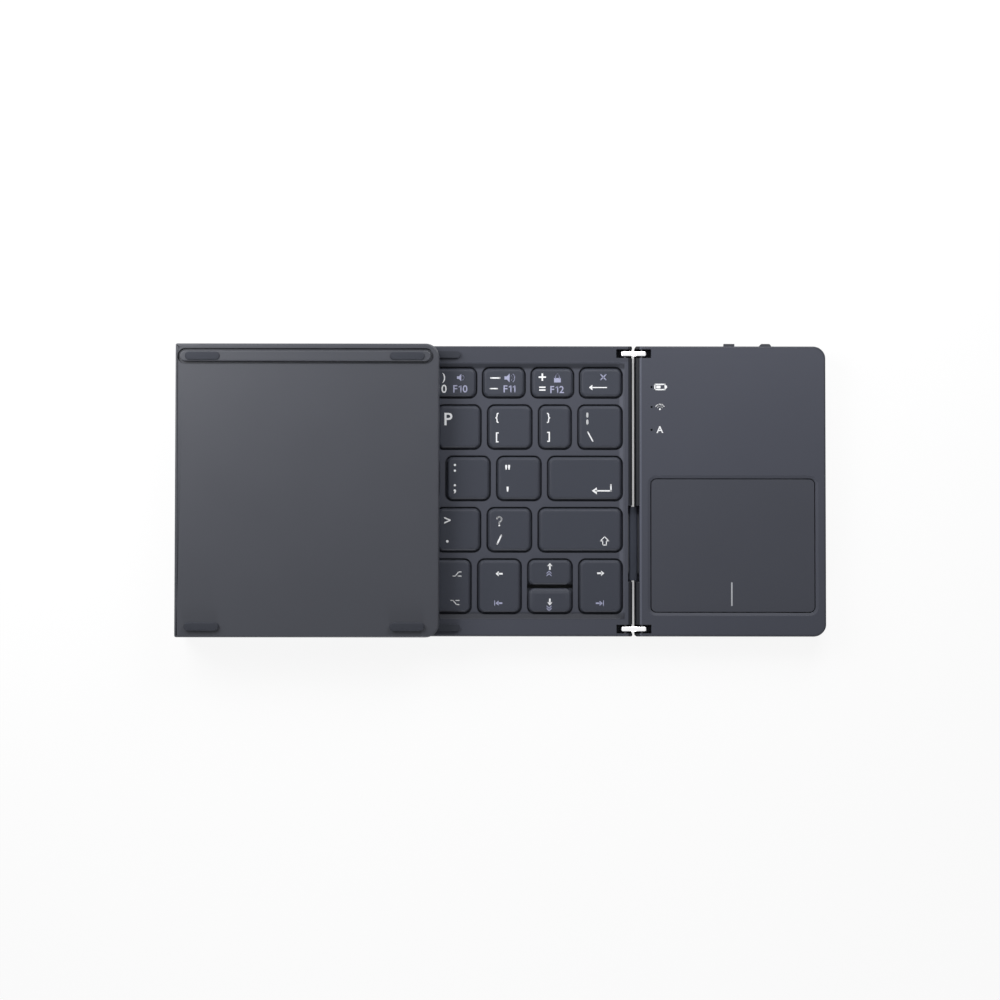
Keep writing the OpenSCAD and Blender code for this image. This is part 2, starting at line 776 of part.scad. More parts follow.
module right_top_cover() {
    color("slategray") at_right() difference() {
        between(z_split, z_top + cut, right_w) panel_body(right_w, true);
        translate([0, 0, z_split - cut]) linear_extrude(z_top - cover_t - z_split + cut)
            inside_plan(right_w, true, 0);
        translate([0, 0, z_split]) linear_extrude(panel_t) pad_plan(0, pad_r);
        hull() {
            translate([0, 0, z_top - pad_chamfer_h]) linear_extrude(0.01)
                pad_plan(0, pad_r, $fn = 32);
            translate([0, 0, z_top]) linear_extrude(0.01)
                pad_plan(pad_chamfer, pad_r + pad_chamfer, $fn = 32);
        }
        for (rear = pinhole_rear) translate([pinhole_x, depth / 2 - rear, z_split])
            cylinder(r = pinhole_r, h = panel_t);
        hinge_end_cut();
        rear_wall_cut();
    }
}

module right_bottom_case() {
    color("dimgray") at_right() difference() {
        bottom_case(right_w, true);
        rear_wall_cut();
    }
}

module main_board() {
    color("darkgreen") at_right() {
        difference() {
            union() {
                translate([board_x, board_y, board_z]) cube([board_w, board_l, board_t]);
                lamp_tab();
            }
            translate([socket_x - socket_w / 2 - 0.2, depth / 2 - wall - socket_l, board_z - cut])
                cube([socket_w + 0.4, socket_l + cut, 3 * cut]);
        }
        board_posts();
        board_parts();
    }
}

// Spacers under the board
module board_posts() {
    for (x = [board_x + 2, board_x + board_w - 2], y = [board_y + 2, board_y + board_l - 4])
        translate([x, y, z_floor]) cylinder(d = 2.4, h = board_z - z_floor + 0.1);
}

// Tongue of the board that carries the indicator lamps to their pinholes
module lamp_tab() {
    y1 = depth / 2 - pinhole_rear[0] + lamp.x;
    y0 = depth / 2 - pinhole_rear[2] - lamp.x;
    x0 = pinhole_x - lamp.x;
    translate([x0, y0, board_z]) cube([board_x + tab_in - x0, y1 - y0, board_t]);
}

// Slide switch, push switch, controller, crystal and the three indicator lamps
module board_parts() {
    z = board_z + board_t - 0.1;
    switch_y = board_y + board_l - knob_h;
    translate([slider_x - 2, switch_y, z]) cube([slider_w + slider_travel + 4, knob_h, knob_h]);
    translate([button_x - 0.3, switch_y, z]) cube([button_w + 0.6, knob_h, knob_h]);
    translate([board_x + board_w / 2 + 2, board_y + 2, z]) cube(controller);
    translate([board_x + board_w / 2 + controller.x + 4, board_y + 2.5, z]) cube(crystal);
    for (rear = pinhole_rear)
        translate([pinhole_x - lamp.x / 2, depth / 2 - rear - lamp.y / 2, z]) cube(lamp);
}

module battery() {
    r = battery_t / 2 - 0.1;
    color("silver") at_right()
        translate([battery_x, board_y - battery_gap - battery_l, z_floor + 0.05])
            along_y(0, battery_l) round_rect([0, 0], [battery_w, battery_t], [r, r, r, r]);
}

module charge_socket() {
    color("silver") at_right() translate([0, depth / 2 - wall / 2 - socket_l, 0]) difference() {
        socket_shape(socket_l, 0);
        translate([0, 0.6, 0]) socket_shape(socket_l, -0.35);
    }
    color("black") at_right()
        translate([socket_x - tongue.x / 2, depth / 2 - wall / 2 - socket_l + 0.5,
                   socket_z + (socket_h - tongue.z) / 2])
            cube(tongue);
}

// Plate, the sensor board bonded under it, and the two tongues that tuck
// under the cover along the rear edge
module touchpad() {
    z = z_top - pad_sink - pad_t;
    y1 = depth / 2 - pad_rear;
    color("slategray") at_right() {
        translate([0, 0, z]) linear_extrude(pad_t) pad_plan(-pad_clear, pad_r - pad_clear);
        translate([0, 0, z - sensor_t]) linear_extrude(sensor_t)
            pad_plan(-pad_clear - 0.5, pad_r - pad_clear);
        for (x = [pad_x + pad_w * 0.2, pad_x + pad_w * 0.8])
            translate([x - tuck.x / 2, y1 - tuck.y / 2, z - sensor_t])
                cube([tuck.x, tuck.y, sensor_t - tuck.z]);
    }
}

// Flange behind the rear wall that keeps a knob from coming out
module knob_flange(x, w, reach) {
    translate([x - reach, knob_y, knob_z - flange_drop])
        cube([w + 2 * reach, lip_t - lip_clear, knob_h + flange_drop + lip_clear]);
}

module power_slider() {
    color("lightgray") at_right() {
        translate([slider_x, knob_y, knob_z]) cube([slider_w, knob_l, knob_h]);
        knob_flange(slider_x, slider_w, slider_travel + 2 * knob_clear);
    }
}

module pairing_button() {
    x1 = button_x + button_w;
    y1 = knob_y + knob_l;
    color("lightgray") at_right() {
        translate([0, 0, knob_z]) linear_extrude(knob_h)
            polygon([[button_x, knob_y], [x1, knob_y], [x1, y1 - button_chamfer],
                     [x1 - button_chamfer, y1], [button_x + button_chamfer, y1],
                     [button_x, y1 - button_chamfer]]);
        knob_flange(button_x, button_w, 2 * knob_clear);
    }
}

// ---------------------------------------------------------------- sub-parts

module middle_top_frame() {
    color("slategray") at_middle() key_frame(middle_w, MIDDLE_ROWS, false);
}

module middle_bottom_case() {
    color("dimgray") at_middle() bottom_case(middle_w, false);
}

module middle_bumpers() {
    seam = (left_w + middle_w - right_w) / 2;
    h = fold_gap - bumper_clear;
    r = bumper_w / 2 - 0.05;
    color("black") at_middle() for (side = [-1, 1])
        translate([seam - bumper_l / 2, side * (depth / 2 - bumper_inset) - bumper_w / 2, z_top])
            linear_extrude(h) round_rect([0, 0], [bumper_l, bumper_w], [r, r, r, r]);
}

module middle_hinge_pins() {
    color("silver") at_middle() {
        pins_at_end();
        at_far_end(middle_w) pins_at_end();
    }
}

module stack(w, free_end, layer, rows, split_row) {
    if (layer == "plate") stack_layer(w, free_end, z_plate, plate_t);
    if (layer == "membrane") stack_layer(w, free_end, z_membrane, membrane_t);
    if (layer == "domes") domes(w, rows, free_end, split_row);
}

middle_top_frame();
middle_bottom_case();
color("gray") at_middle() stack(middle_w, false, "plate");  // middle_support_plate
color("khaki") at_middle() stack(middle_w, false, "membrane");  // middle_membrane
color("white") at_middle() at_far_end(middle_w)  // middle_domes
        stack(middle_w, false, "domes", MIDDLE_ROWS, arrow_row);
color("black") at_middle() feet(middle_w, false);  // middle_feet
middle_bumpers();
middle_hinge_pins();

color("silver") at_left_hinge() links();  // left_hinge_links
color("dimgray") at_left_hinge() cable_bridge();  // left_cable_bridge
color("orange") at_left_pivot() folded_flex();  // left_flex_cable

color("slategray") at_left() key_frame(left_w, LEFT_ROWS, true);  // left_top_frame
color("dimgray") at_left() bottom_case(left_w, true);  // left_bottom_case
color("gray") at_left() stack(left_w, true, "plate");  // left_support_plate
color("khaki") at_left() stack(left_w, true, "membrane");  // left_membrane
color("white") at_left() stack(left_w, true, "domes", LEFT_ROWS, -1);  // left_domes
color("black") at_left() feet(left_w, true);  // left_feet
color("silver") at_left() pins_at_end();  // left_hinge_pins

color("silver") at_right_hinge() links();  // right_hinge_links
color("dimgray") at_right_hinge() cable_bridge();  // right_cable_bridge
color("orange") at_right_hinge() flat_flex();  // right_flex_cable

right_top_cover();
right_bottom_case();
color("black") at_right() feet(right_w, true);  // right_feet
color("silver") at_right() pins_at_end();  // right_hinge_pins
main_board();
battery();
charge_socket();
touchpad();
power_slider();
pairing_button();

for (k = SINGLE_KEYS)
    middle_key(key_place(MIDDLE_ROWS[k[1]], k[2], middle_w));
for (k = HALF_KEYS)
    half_keycap(k[1]);
for (r = [0:len(ROW_NAMES) - 1]) {
    middle_hidden_keys(r);
    left_row_keys(r);
}
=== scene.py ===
"""Looks of a folding keyboard: satin slate shells, printed keys, bright hinge links.

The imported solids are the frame. Every shape added here is worked out with
numpy as a profile carried round an outline, and rides on the solid's body.
Sizes of the keyboard are in millimetres, and the scene is in metres.
"""

import logging
import math
from dataclasses import dataclass, field
from enum import Enum

import bpy
import numpy as np
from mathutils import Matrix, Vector

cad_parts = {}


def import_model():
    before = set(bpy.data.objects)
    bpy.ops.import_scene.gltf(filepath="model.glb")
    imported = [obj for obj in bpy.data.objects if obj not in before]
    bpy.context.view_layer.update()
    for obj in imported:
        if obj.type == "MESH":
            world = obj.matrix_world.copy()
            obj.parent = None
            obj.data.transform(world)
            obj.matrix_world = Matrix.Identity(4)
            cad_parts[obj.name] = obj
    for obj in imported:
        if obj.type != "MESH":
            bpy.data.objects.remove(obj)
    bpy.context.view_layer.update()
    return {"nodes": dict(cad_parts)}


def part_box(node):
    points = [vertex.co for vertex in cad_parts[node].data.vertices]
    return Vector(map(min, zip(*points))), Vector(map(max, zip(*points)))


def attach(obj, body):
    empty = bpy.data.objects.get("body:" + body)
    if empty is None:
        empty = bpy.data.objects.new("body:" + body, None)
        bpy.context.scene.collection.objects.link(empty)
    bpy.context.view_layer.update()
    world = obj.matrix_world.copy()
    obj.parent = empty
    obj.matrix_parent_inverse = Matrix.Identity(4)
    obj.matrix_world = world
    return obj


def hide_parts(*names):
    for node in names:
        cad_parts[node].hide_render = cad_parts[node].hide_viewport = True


MM = 0.001
SHARP_DEG = 40
ROUND_STEPS = 6
LOG = logging.getLogger("keyboard")
Number = float | int
XY = tuple[float, float]
XYZ = tuple[float, float, float]
Shape = tuple[np.ndarray, list]


# ---- shader maths

class Wire:
    """A shader socket that can be written into expressions."""

    def __init__(self, shader: "Shader", socket: bpy.types.NodeSocket) -> None:
        """Wraps one output socket of a shader's node tree."""
        self.shader = shader
        self.socket = socket

    def _math(self, operation: str, first: "Wire | Number", second: "Wire | Number") -> "Wire":
        """Adds a Math node for one operation on two values."""
        node = self.shader.add("ShaderNodeMath", {"operation": operation}, {0: first, 1: second})
        return Wire(self.shader, node.outputs[0])

    def __add__(self, other: "Wire | Number") -> "Wire":
        """Sum."""
        return self._math("ADD", self, other)

    def __sub__(self, other: "Wire | Number") -> "Wire":
        """Difference."""
        return self._math("SUBTRACT", self, other)

    def __rsub__(self, other: "Wire | Number") -> "Wire":
        """Difference from a number."""
        return self._math("SUBTRACT", other, self)

    def __mul__(self, other: "Wire | Number") -> "Wire":
        """Product."""
        return self._math("MULTIPLY", self, other)

    __radd__ = __add__
    __rmul__ = __mul__

    def __abs__(self) -> "Wire":
        """Size without sign."""
        return self._math("ABSOLUTE", self, 0)

    def past(self, limit: float) -> "Wire":
        """How far the value lies above a limit, or 0 below it."""
        return self._math("MAXIMUM", self - limit, 0)

    def root(self) -> "Wire":
        """Square root."""
        return self._math("SQRT", self, 0)

    def ramp(self, low: float, high: float) -> "Wire":
        """Smooth step from 0 at low to 1 at high."""
        node = self.shader.add("ShaderNodeMapRange", {"interpolation_type": "SMOOTHSTEP"},
                               {"Value": self, "From Min": low, "From Max": high})
        return Wire(self.shader, node.outputs[0])


class Shader:
    """One material's node tree, with a single way to add a node."""

    def __init__(self, name: str) -> None:
        """Starts an empty material that has only its surface and output."""
        self.material = bpy.data.materials.new(name)
        self.material.use_nodes = True
        self.tree = self.material.node_tree
        self.tree.nodes.clear()
        self.output = self.tree.nodes.new("ShaderNodeOutputMaterial")
        self.surface = self.tree.nodes.new("ShaderNodeBsdfPrincipled")
        self.tree.links.new(self.surface.outputs[0], self.output.inputs["Surface"])

    def plug(self, socket: bpy.types.NodeSocket, value: object) -> None:
        """Links a wire to a socket, or sets the socket to a plain value.

        Args:
            socket: The input.
            value: A Wire, a number or a colour.
        """
        if isinstance(value, Wire):
            self.tree.links.new(value.socket, socket)
        else:
            socket.default_value = value

    def coat(self, **inputs: object) -> None:
        """Plugs values into the surface's inputs, named with _ for each space."""
        for name, value in inputs.items():
            self.plug(self.surface.inputs[name.replace("_", " ")], value)

    def add(self, kind: str, settings: dict | None = None,
            inputs: dict | None = None) -> bpy.types.Node:
        """Adds a node.

        Args:
            kind: Blender's type name of the node.
            settings: Properties, set first.
            inputs: Values or wires by socket name or index.

        Returns:
            The node.
        """
        node = self.tree.nodes.new(kind)
        for key, value in (settings or {}).items():
            setattr(node, key, value)
        for key, value in (inputs or {}).items():
            self.plug(node.inputs[key], value)
        return node

    def place(self) -> Wire:
        """Object coordinates."""
        return Wire(self, self.add("ShaderNodeTexCoord").outputs["Object"])

    def noise(self, per_mm: float, detail: float, where: Wire | None = None) -> Wire:
        """Noise in object space.

        Args:
            per_mm: Features for each millimetre.
            detail: Octaves.
            where: Coordinates, or None for object coordinates.

        Returns:
            The noise factor, around a half.
        """
        node = self.add("ShaderNodeTexNoise", None,
                        {"Vector": where or self.place(), "Scale": per_mm / MM, "Detail": detail})
        return Wire(self, node.outputs[0])

    def mix(self, factor: Wire, low: XYZ, high: XYZ) -> Wire:
        """Colour from low, where the factor is 0, to high, where it is 1."""
        node = self.add("ShaderNodeMix", {"data_type": "RGBA"},
                        {0: factor, 6: (*low, 1.0), 7: (*high, 1.0)})
        return Wire(self, node.outputs[2])

    def bump(self, height: Wire, depth_mm: float, soften_mm: float) -> Wire:
        """Surface normal from a height, over softened edges.

        Args:
            height: Height, from 0 to 1.
            depth_mm: Depth of that height.
            soften_mm: Radius at which sharp edges catch light.

        Returns:
            The normal.
        """
        values = {"Height": height, "Distance": depth_mm * MM, "Strength": 1.0}
        if soften_mm > 0:
            edge = self.add("ShaderNodeBevel", {"samples": 4}, {"Radius": soften_mm * MM})
            values["Normal"] = Wire(self, edge.outputs[0])
        return Wire(self, self.add("ShaderNodeBump", None, values).outputs[0])


@dataclass(frozen=True)
class Moulded:
    """Moulded plastic or rubber: fine spark-eroded grain over a slow change of tone."""

    name: str
    colour: XYZ
    roughness: float = 0.5
    roughness_drift: float = 0.06
    roughness_grain: float = 0.05
    drift_per_mm: float = 0.05
    drift_share: float = 0.7
    grain_per_mm: float = 7.0
    grain_mm: float = 0.006
    tone: float = 0.05
    soften_mm: float = 0.12
    specular: float = 0.5

    def moulded(self) -> tuple[Shader, Wire, Wire]:
        """Starts the material: roughness drifts slowly, and a fine grain dents it.

        Returns:
            The shader, the drift of tone from 0 to 1, and the grained normal.
        """
        shader = Shader(self.name)
        slow = shader.noise(self.drift_per_mm, 3.0)
        fine = shader.noise(self.grain_per_mm, 2.0)
        shader.coat(Specular_IOR_Level=self.specular,
                    Roughness=(slow - 0.5) * self.roughness_drift
                    + (fine - 0.5) * self.roughness_grain + self.roughness)
        drift = slow * self.drift_share + fine * (1 - self.drift_share)
        return shader, drift, shader.bump(fine, self.grain_mm, self.soften_mm)

    def material(self) -> bpy.types.Material:
        """Builds the material, its colour drifting by the tone either way."""
        shader, drift, grain = self.moulded()
        low, high = (tuple(c * share for c in self.colour)
                     for share in (1 - self.tone, 1 + self.tone))
        shader.coat(Base_Color=shader.mix(drift, low, high), Normal=grain)
        return shader.material


@dataclass(frozen=True)
class Shell(Moulded):
    """Top shell, with painted shade on its rounded hinge ends and along its outer edges.

    Both hinges lie across X, so the distance of a point from a hinge's gap is
    |x - x of the gap|. The step from an end's painted shade to the top is a soft edge.
    Near the outline with corner radius r the distance to it is r - |q|, where q is how
    far the point lies past the corners' centres. Bands of painted light, as
    (middle, half width, tone), follow the slopes round the keys and the wing's
    hinge edge: a tone below 1 is painted shade, above 1 a painted highlight. The rear
    rim has painted shade too. Pairs of places are where an eased step starts and ends.
    """

    gaps_mm: tuple[XY, ...] = ((44.45, 1.55), (-109.15, 1.45))
    bridge_mm: XY = (-18.18, 12.9)
    bridge_ease_mm: float = 0.2
    wing_mm: XY = (43.7, 43.9)
    # Bands of painted light: a highlight on the wing's hinge edge, shade on the rear and front key
    # slopes, a highlight on the right key slope, shade on the rear rim
    wing_edge_highlight: XYZ = (46.6, 0.5, 2.0)
    rear_slope_shade: XYZ = (41.7, 1.3, 0.36)
    front_slope_shade: XYZ = (-42.5, 1.6, 0.36)
    right_slope_highlight: XYZ = (40.1, 0.8, 1.4)
    band_core: float = 0.4
    rear_rim_mm: XY = (42.9, 43.5)
    rear_rim_shade: float = 0.76
    keys_end_mm: XY = (41.0, 41.4)
    keys_side_mm: XY = (42.1, 42.6)
    # Near-black painted shade on the rounded hinge ends
    end_shade_colour: XYZ = (0.006, 0.007, 0.01)
    step_mm: float = 0.6
    step_depth_mm: float = 0.35
    end_mm: float = 109.15
    side_mm: float = 49.0
    middle_mm: float = -0.475
    corner_mm: float = 4.5
    # Painted shade along the rounded outer edge
    edge_mm: float = 1.1
    edge_shade_share: float = 0.55

    def top(self, x: Wire, y: Wire) -> Wire:
        """1 on the top and beside the cable bridge, and 0 on the painted shade of the hinge ends.
        """
        middle, half = self.bridge_mm
        beside = abs(y - middle * MM).ramp(half * MM, (half + self.bridge_ease_mm) * MM)
        open_end, folded_end = (
            1.0 - abs(x - gap * MM).ramp(reach * MM, (reach + self.step_mm) * MM)
            for gap, reach in self.gaps_mm)
        return (1.0 - open_end * beside) * (1.0 - folded_end)

    def band(self, place: Wire, band: XYZ) -> Wire:
        """Painted light across a band: its own tone in the middle and 1 outside."""
        middle, half, tone = band
        off = abs(place - middle * MM).ramp(half * self.band_core * MM, half * MM)
        return off * (1.0 - tone) + tone

    def painted_light_bands(self, x: Wire, y: Wire) -> Wire:
        """Painted light of the bands: shade on the rear and front key slopes and the rear rim, a
        highlight on the right key slope, and a highlight along the edge on the wing.
        """
        wing, past_keys, beside_keys, rim = (
            place.ramp(low * MM, high * MM)
            for place, (low, high) in ((x, self.wing_mm), (x, self.keys_end_mm),
                                       (abs(y), self.keys_side_mm), (y, self.rear_rim_mm)))
        across = self.band(y, self.rear_slope_shade) * self.band(y, self.front_slope_shade)
        across = across + (1.0 - across) * past_keys
        along = self.band(x, self.right_slope_highlight)
        along = along + (1.0 - along) * beside_keys
        slopes = across * along * (1.0 - rim * (1.0 - self.rear_rim_shade))
        return slopes + (self.band(x, self.wing_edge_highlight) - slopes) * wing

    def inside(self, x: Wire, y: Wire) -> Wire:
        """1 inside the outer edge, falling to the edge's share on it: painted shade along the
        rounded outer edge.
        """
        along = x.past((self.end_mm - self.corner_mm) * MM)
        across = abs(y - self.middle_mm * MM).past((self.side_mm - self.corner_mm) * MM)
        reach = (along * along + across * across).root()
        edge = reach.ramp((self.corner_mm - self.edge_mm) * MM, self.corner_mm * MM)
        return 1.0 - edge * (1.0 - self.edge_shade_share)

    def material(self) -> bpy.types.Material:
        """Builds the moulded finish, then paints shade on the hinge ends and edges, and adds the
        bands of painted light.
        """
        shader, drift, grain = self.moulded()
        apart = shader.add("ShaderNodeSeparateXYZ", None, {"Vector": shader.place()})
        x, y = Wire(shader, apart.outputs[0]), Wire(shader, apart.outputs[1])
        top = self.top(x, y)
        # The peak lifts the brightest colour so that the painted highlight on the wing's hinge edge
        # fits under the mix
        peak = self.wing_edge_highlight[2] * (1 + self.tone)
        tone = drift * (2 * self.tone) + (1 - self.tone)
        share = top * self.inside(x, y) * self.painted_light_bands(x, y) * tone * (1 / peak)
        step = shader.add("ShaderNodeBump", None,
                          {"Height": top, "Distance": self.step_depth_mm * MM, "Normal": grain})
        bright = tuple(c * peak for c in self.colour)
        # Painted shade: the hinge ends fall to the near-black end shade colour
        shader.coat(Base_Color=shader.mix(share, self.end_shade_colour, bright),
                    Normal=Wire(shader, step.outputs[0]))
        return shader.material


@dataclass(frozen=True)
class Metal:
    """Drawn or plated metal with fine lines along X."""

    name: str
    colour: XYZ
    roughness: float = 0.25
    roughness_spread: float = 0.12
    line_per_mm: float = 10.0
    line_mm: float = 0.002
    line_scale: XYZ = (0.05, 1.0, 1.0)
    line_tone: float = 0.94
    soften_mm: float = 0.1

    def material(self) -> bpy.types.Material:
        """Builds the material: noise stretched along X gives the drawn lines."""
        shader = Shader(self.name)
        stretched = shader.add("ShaderNodeMapping", None,
                               {"Vector": shader.place(), "Scale": self.line_scale})
        lines = shader.noise(self.line_per_mm, 3.0, Wire(shader, stretched.outputs[0]))
        low = tuple(c * self.line_tone for c in self.colour)
        shader.coat(Base_Color=shader.mix(lines, low, self.colour), Metallic=1.0,
                    Roughness=(lines - 0.5) * self.roughness_spread + self.roughness,
                    Normal=shader.bump(lines, self.line_mm, self.soften_mm))
        return shader.material


class Palette(Enum):
    """Every finish on the keyboard."""

    TOP_SHELL = Shell("top_shell", (0.046, 0.049, 0.063), specular=0.2)
    UNDERSIDE = Moulded("underside", (0.039, 0.0415, 0.051), roughness=0.42, specular=0.3)
    KEYCAP = Moulded("keycap", (0.035, 0.0385, 0.051), roughness=0.52, specular=0.2)
    TOUCHPAD = Moulded("touchpad_surface", (0.046, 0.049, 0.062), roughness=0.45, grain_mm=0.003,
                       specular=0.2)
    BRIDGE = Moulded("cable_bridge", (0.058, 0.065, 0.087), roughness=0.5, specular=0.2)
    RUBBER = Moulded("rubber", (0.023, 0.0255, 0.034), roughness=0.75, grain_per_mm=4.0,
                     grain_mm=0.015, specular=0.25)
    # Dome sheets painted near black: painted shade in the gaps between the keys, where the domes
    # show through
    WELL = Moulded("key_well", (0.012, 0.013, 0.017), roughness=0.7)
    KNOB = Moulded("control_knob", (0.03, 0.032, 0.041), roughness=0.45, specular=0.3)
    FILM = Moulded("membrane", (0.6, 0.58, 0.5), roughness=0.3)
    # Flex cable painted dark: painted shade in the hinge notch beside the cable bridge
    FLEX = Moulded("flex_cable", (0.032, 0.035, 0.045), roughness=0.4)
    BOARD = Moulded("circuit_board", (0.02, 0.14, 0.05), roughness=0.4)
    LINK = Metal("hinge_link", (0.92, 0.92, 0.93))
    # Steel pins painted near black: painted shade in the hinge slots
    PIN = Metal("hinge_pin", (0.07, 0.07, 0.075), roughness=0.35)
    PLATE = Metal("support_plate", (0.5, 0.5, 0.52), roughness=0.35)
    FOIL = Metal("battery_foil", (0.7, 0.7, 0.72), roughness=0.4, line_mm=0.02)
    SOCKET = Metal("socket_shell", (0.7, 0.7, 0.72))
    INK = Moulded("legend_ink", (0.75, 0.76, 0.78), roughness=0.5, grain_mm=0.001, tone=0.03,
                  soften_mm=0.0)
    LILAC_INK = Moulded("function_ink", (0.3, 0.31, 0.44), roughness=0.5, grain_mm=0.001,
                        tone=0.03, soften_mm=0.0)
    GREY_INK = Moulded("divider_ink", (0.38, 0.39, 0.42), roughness=0.5, grain_mm=0.001,
                       tone=0.03, soften_mm=0.0)


class Finishes:
    """Makes each finish once and dresses objects with it."""

    def __init__(self) -> None:
        """Starts with no material made."""
        self.made: dict[Palette, bpy.types.Material] = {}

    def dress(self, piece: bpy.types.Object, finish: Palette) -> None:
        """Gives a piece one finish all over.

        Args:
            piece: A mesh object.
            finish: The finish.
        """
        if finish not in self.made:
            self.made[finish] = finish.value.material()
        piece.data.materials.clear()
        piece.data.materials.append(self.made[finish])


# ---- surfaces

@dataclass(frozen=True)
class Outline:
    """Rectangle in plan with four corner radii, from the low corner round against the clock."""

    low: XY
    high: XY
    radii: tuple[float, float, float, float]
    steps: int = 10

    def points(self) -> tuple[np.ndarray, np.ndarray]:
        """Walks the outline: each corner is an arc, p = centre + r (cos t, sin t).

        Returns:
            The points, and the unit vectors that point out of the outline there.
        """
        (x0, y0), (x1, y1) = self.low, self.high
        corners = np.array([[x0, y0], [x1, y0], [x1, y1], [x0, y1]])
        inward = np.array([[1, 1], [-1, 1], [-1, -1], [1, -1]])
        radii = np.array(self.radii)[:, None]
        start = np.radians([180, 270, 0, 90])
        angle = start[:, None] + np.linspace(0, math.pi / 2, self.steps)[None, :]
        out = np.stack([np.cos(angle), np.sin(angle)], axis=-1)
        centres = corners + inward * radii
        points = centres[:, None, :] + radii[:, :, None] * out
        return points.reshape(-1, 2), out.reshape(-1, 2)


def skin(rings: np.ndarray) -> Shape:
    """Joins rings of points into a closed skin.

    Ring k is joined to ring k + 1 by four-sided faces, and the first and last
    rings are closed by one face each.

    Args:
        rings: Array of (ring, point, xyz), each ring against the clock from above
            where the rings climb.

    Returns:
        The vertices and the faces.
    """
    count, size, _ = rings.shape
    first = np.arange(size)
    second = np.roll(first, -1)
    base = (np.arange(count - 1) * size)[:, None]
    quads = np.stack([base + first, base + second, base + size + second, base + size + first],
                     axis=-1).reshape(-1, 4)
    faces = [tuple(q) for q in quads.tolist()]
    faces.append(tuple(reversed(first.tolist())))
    faces.append(tuple((first + (count - 1) * size).tolist()))
    return rings.reshape(-1, 3), faces


def carried(outline: Outline, profile: list[XY]) -> np.ndarray:
    """Carries a profile round an outline.

    Args:
        outline: The plan.
        profile: (draw in, height) pairs; a point lies at outline - draw in * outward.

    Returns:
        One ring of points for each pair.
    """
    points, out = outline.points()
    steps = np.array(profile)
    plan = points[None] - steps[:, 0, None, None] * out[None]
    height = np.broadcast_to(steps[:, 1, None, None], (*plan.shape[:2], 1))
    return np.concatenate([plan, height], axis=-1)


def rounded(draw: float, level: float, radius: float, foot: bool = False) -> list[XY]:
    """Quarter round between an upright and a level part of a profile.

    Args:
        draw: Draw in of the upright part.
        level: Height of the level part.
        radius: Radius of the round.
        foot: Whether the level part comes first and lies below.

    Returns:
        (draw in, height) pairs: r (1 - cos t) in from the upright part and
        r (1 - sin t) from the level one, as t runs from 0 to a right angle.
    """
    turn = np.linspace(0, math.pi / 2, ROUND_STEPS)
    sign = -1 if foot else 1
    return [(draw + radius * (1 - math.cos(t)), level - sign * radius * (1 - math.sin(t)))
            for t in (turn[::-1] if foot else turn)]


def linked(name: str, data: bpy.types.ID | None) -> bpy.types.Object:
    """Makes an object of some data and links it to the scene."""
    thing = bpy.data.objects.new(name, data)
    bpy.context.scene.collection.objects.link(thing)
    return thing


def make_piece(name: str, vertices: np.ndarray, faces: list,
               smooth: bool = True) -> bpy.types.Object:
    """Puts a computed surface into a mesh object at the origin.

    Args:
        name: The piece's name.
        vertices: Its points, in metres.
        faces: Its faces.
        smooth: Whether gentle angles are shaded smooth.

    Returns:
        The object.
    """
    mesh = bpy.data.meshes.new(name)
    mesh.from_pydata(np.asarray(vertices, float), [], faces)
    mesh.update()
    piece = linked(name, mesh)
    if smooth:
        mesh.shade_smooth()
        mesh.set_sharp_from_angle(angle=math.radians(SHARP_DEG))
    return piece


def joined(parts: list[Shape]) -> Shape:
    """Puts several skins into one list of vertices and faces.

    Args:
        parts: Skins.

    Returns:
        All vertices, and all faces renumbered.
    """
    vertices, faces, offset = [], [], 0
    for points, part_faces in parts:
        vertices.append(points)
        faces += [tuple(i + offset for i in face) for face in part_faces]
        offset += len(points)
    return np.concatenate(vertices), faces


# ---- the keyboard's frame

@dataclass(frozen=True)
class Placement:
    """Where a panel's own coordinates lie in the row frame."""

    body: str
    origin: XYZ
    x_sign: int
    z_sign: int

    def put(self, vertices: np.ndarray, faces: list) -> Shape:
        """Moves a skin from the panel's coordinates, in mm, to the row frame, in metres.

        Args:
            vertices: Points in the panel.
            faces: Their faces.

        Returns:
            The moved points, and the faces, turned over where the move mirrors them.
        """
        signs = np.array([self.x_sign, 1, self.z_sign])
        moved = (np.asarray(vertices) * signs + np.array(self.origin)) * MM
        if self.x_sign * self.z_sign < 0:
            faces = [tuple(reversed(face)) for face in faces]
        return moved, faces


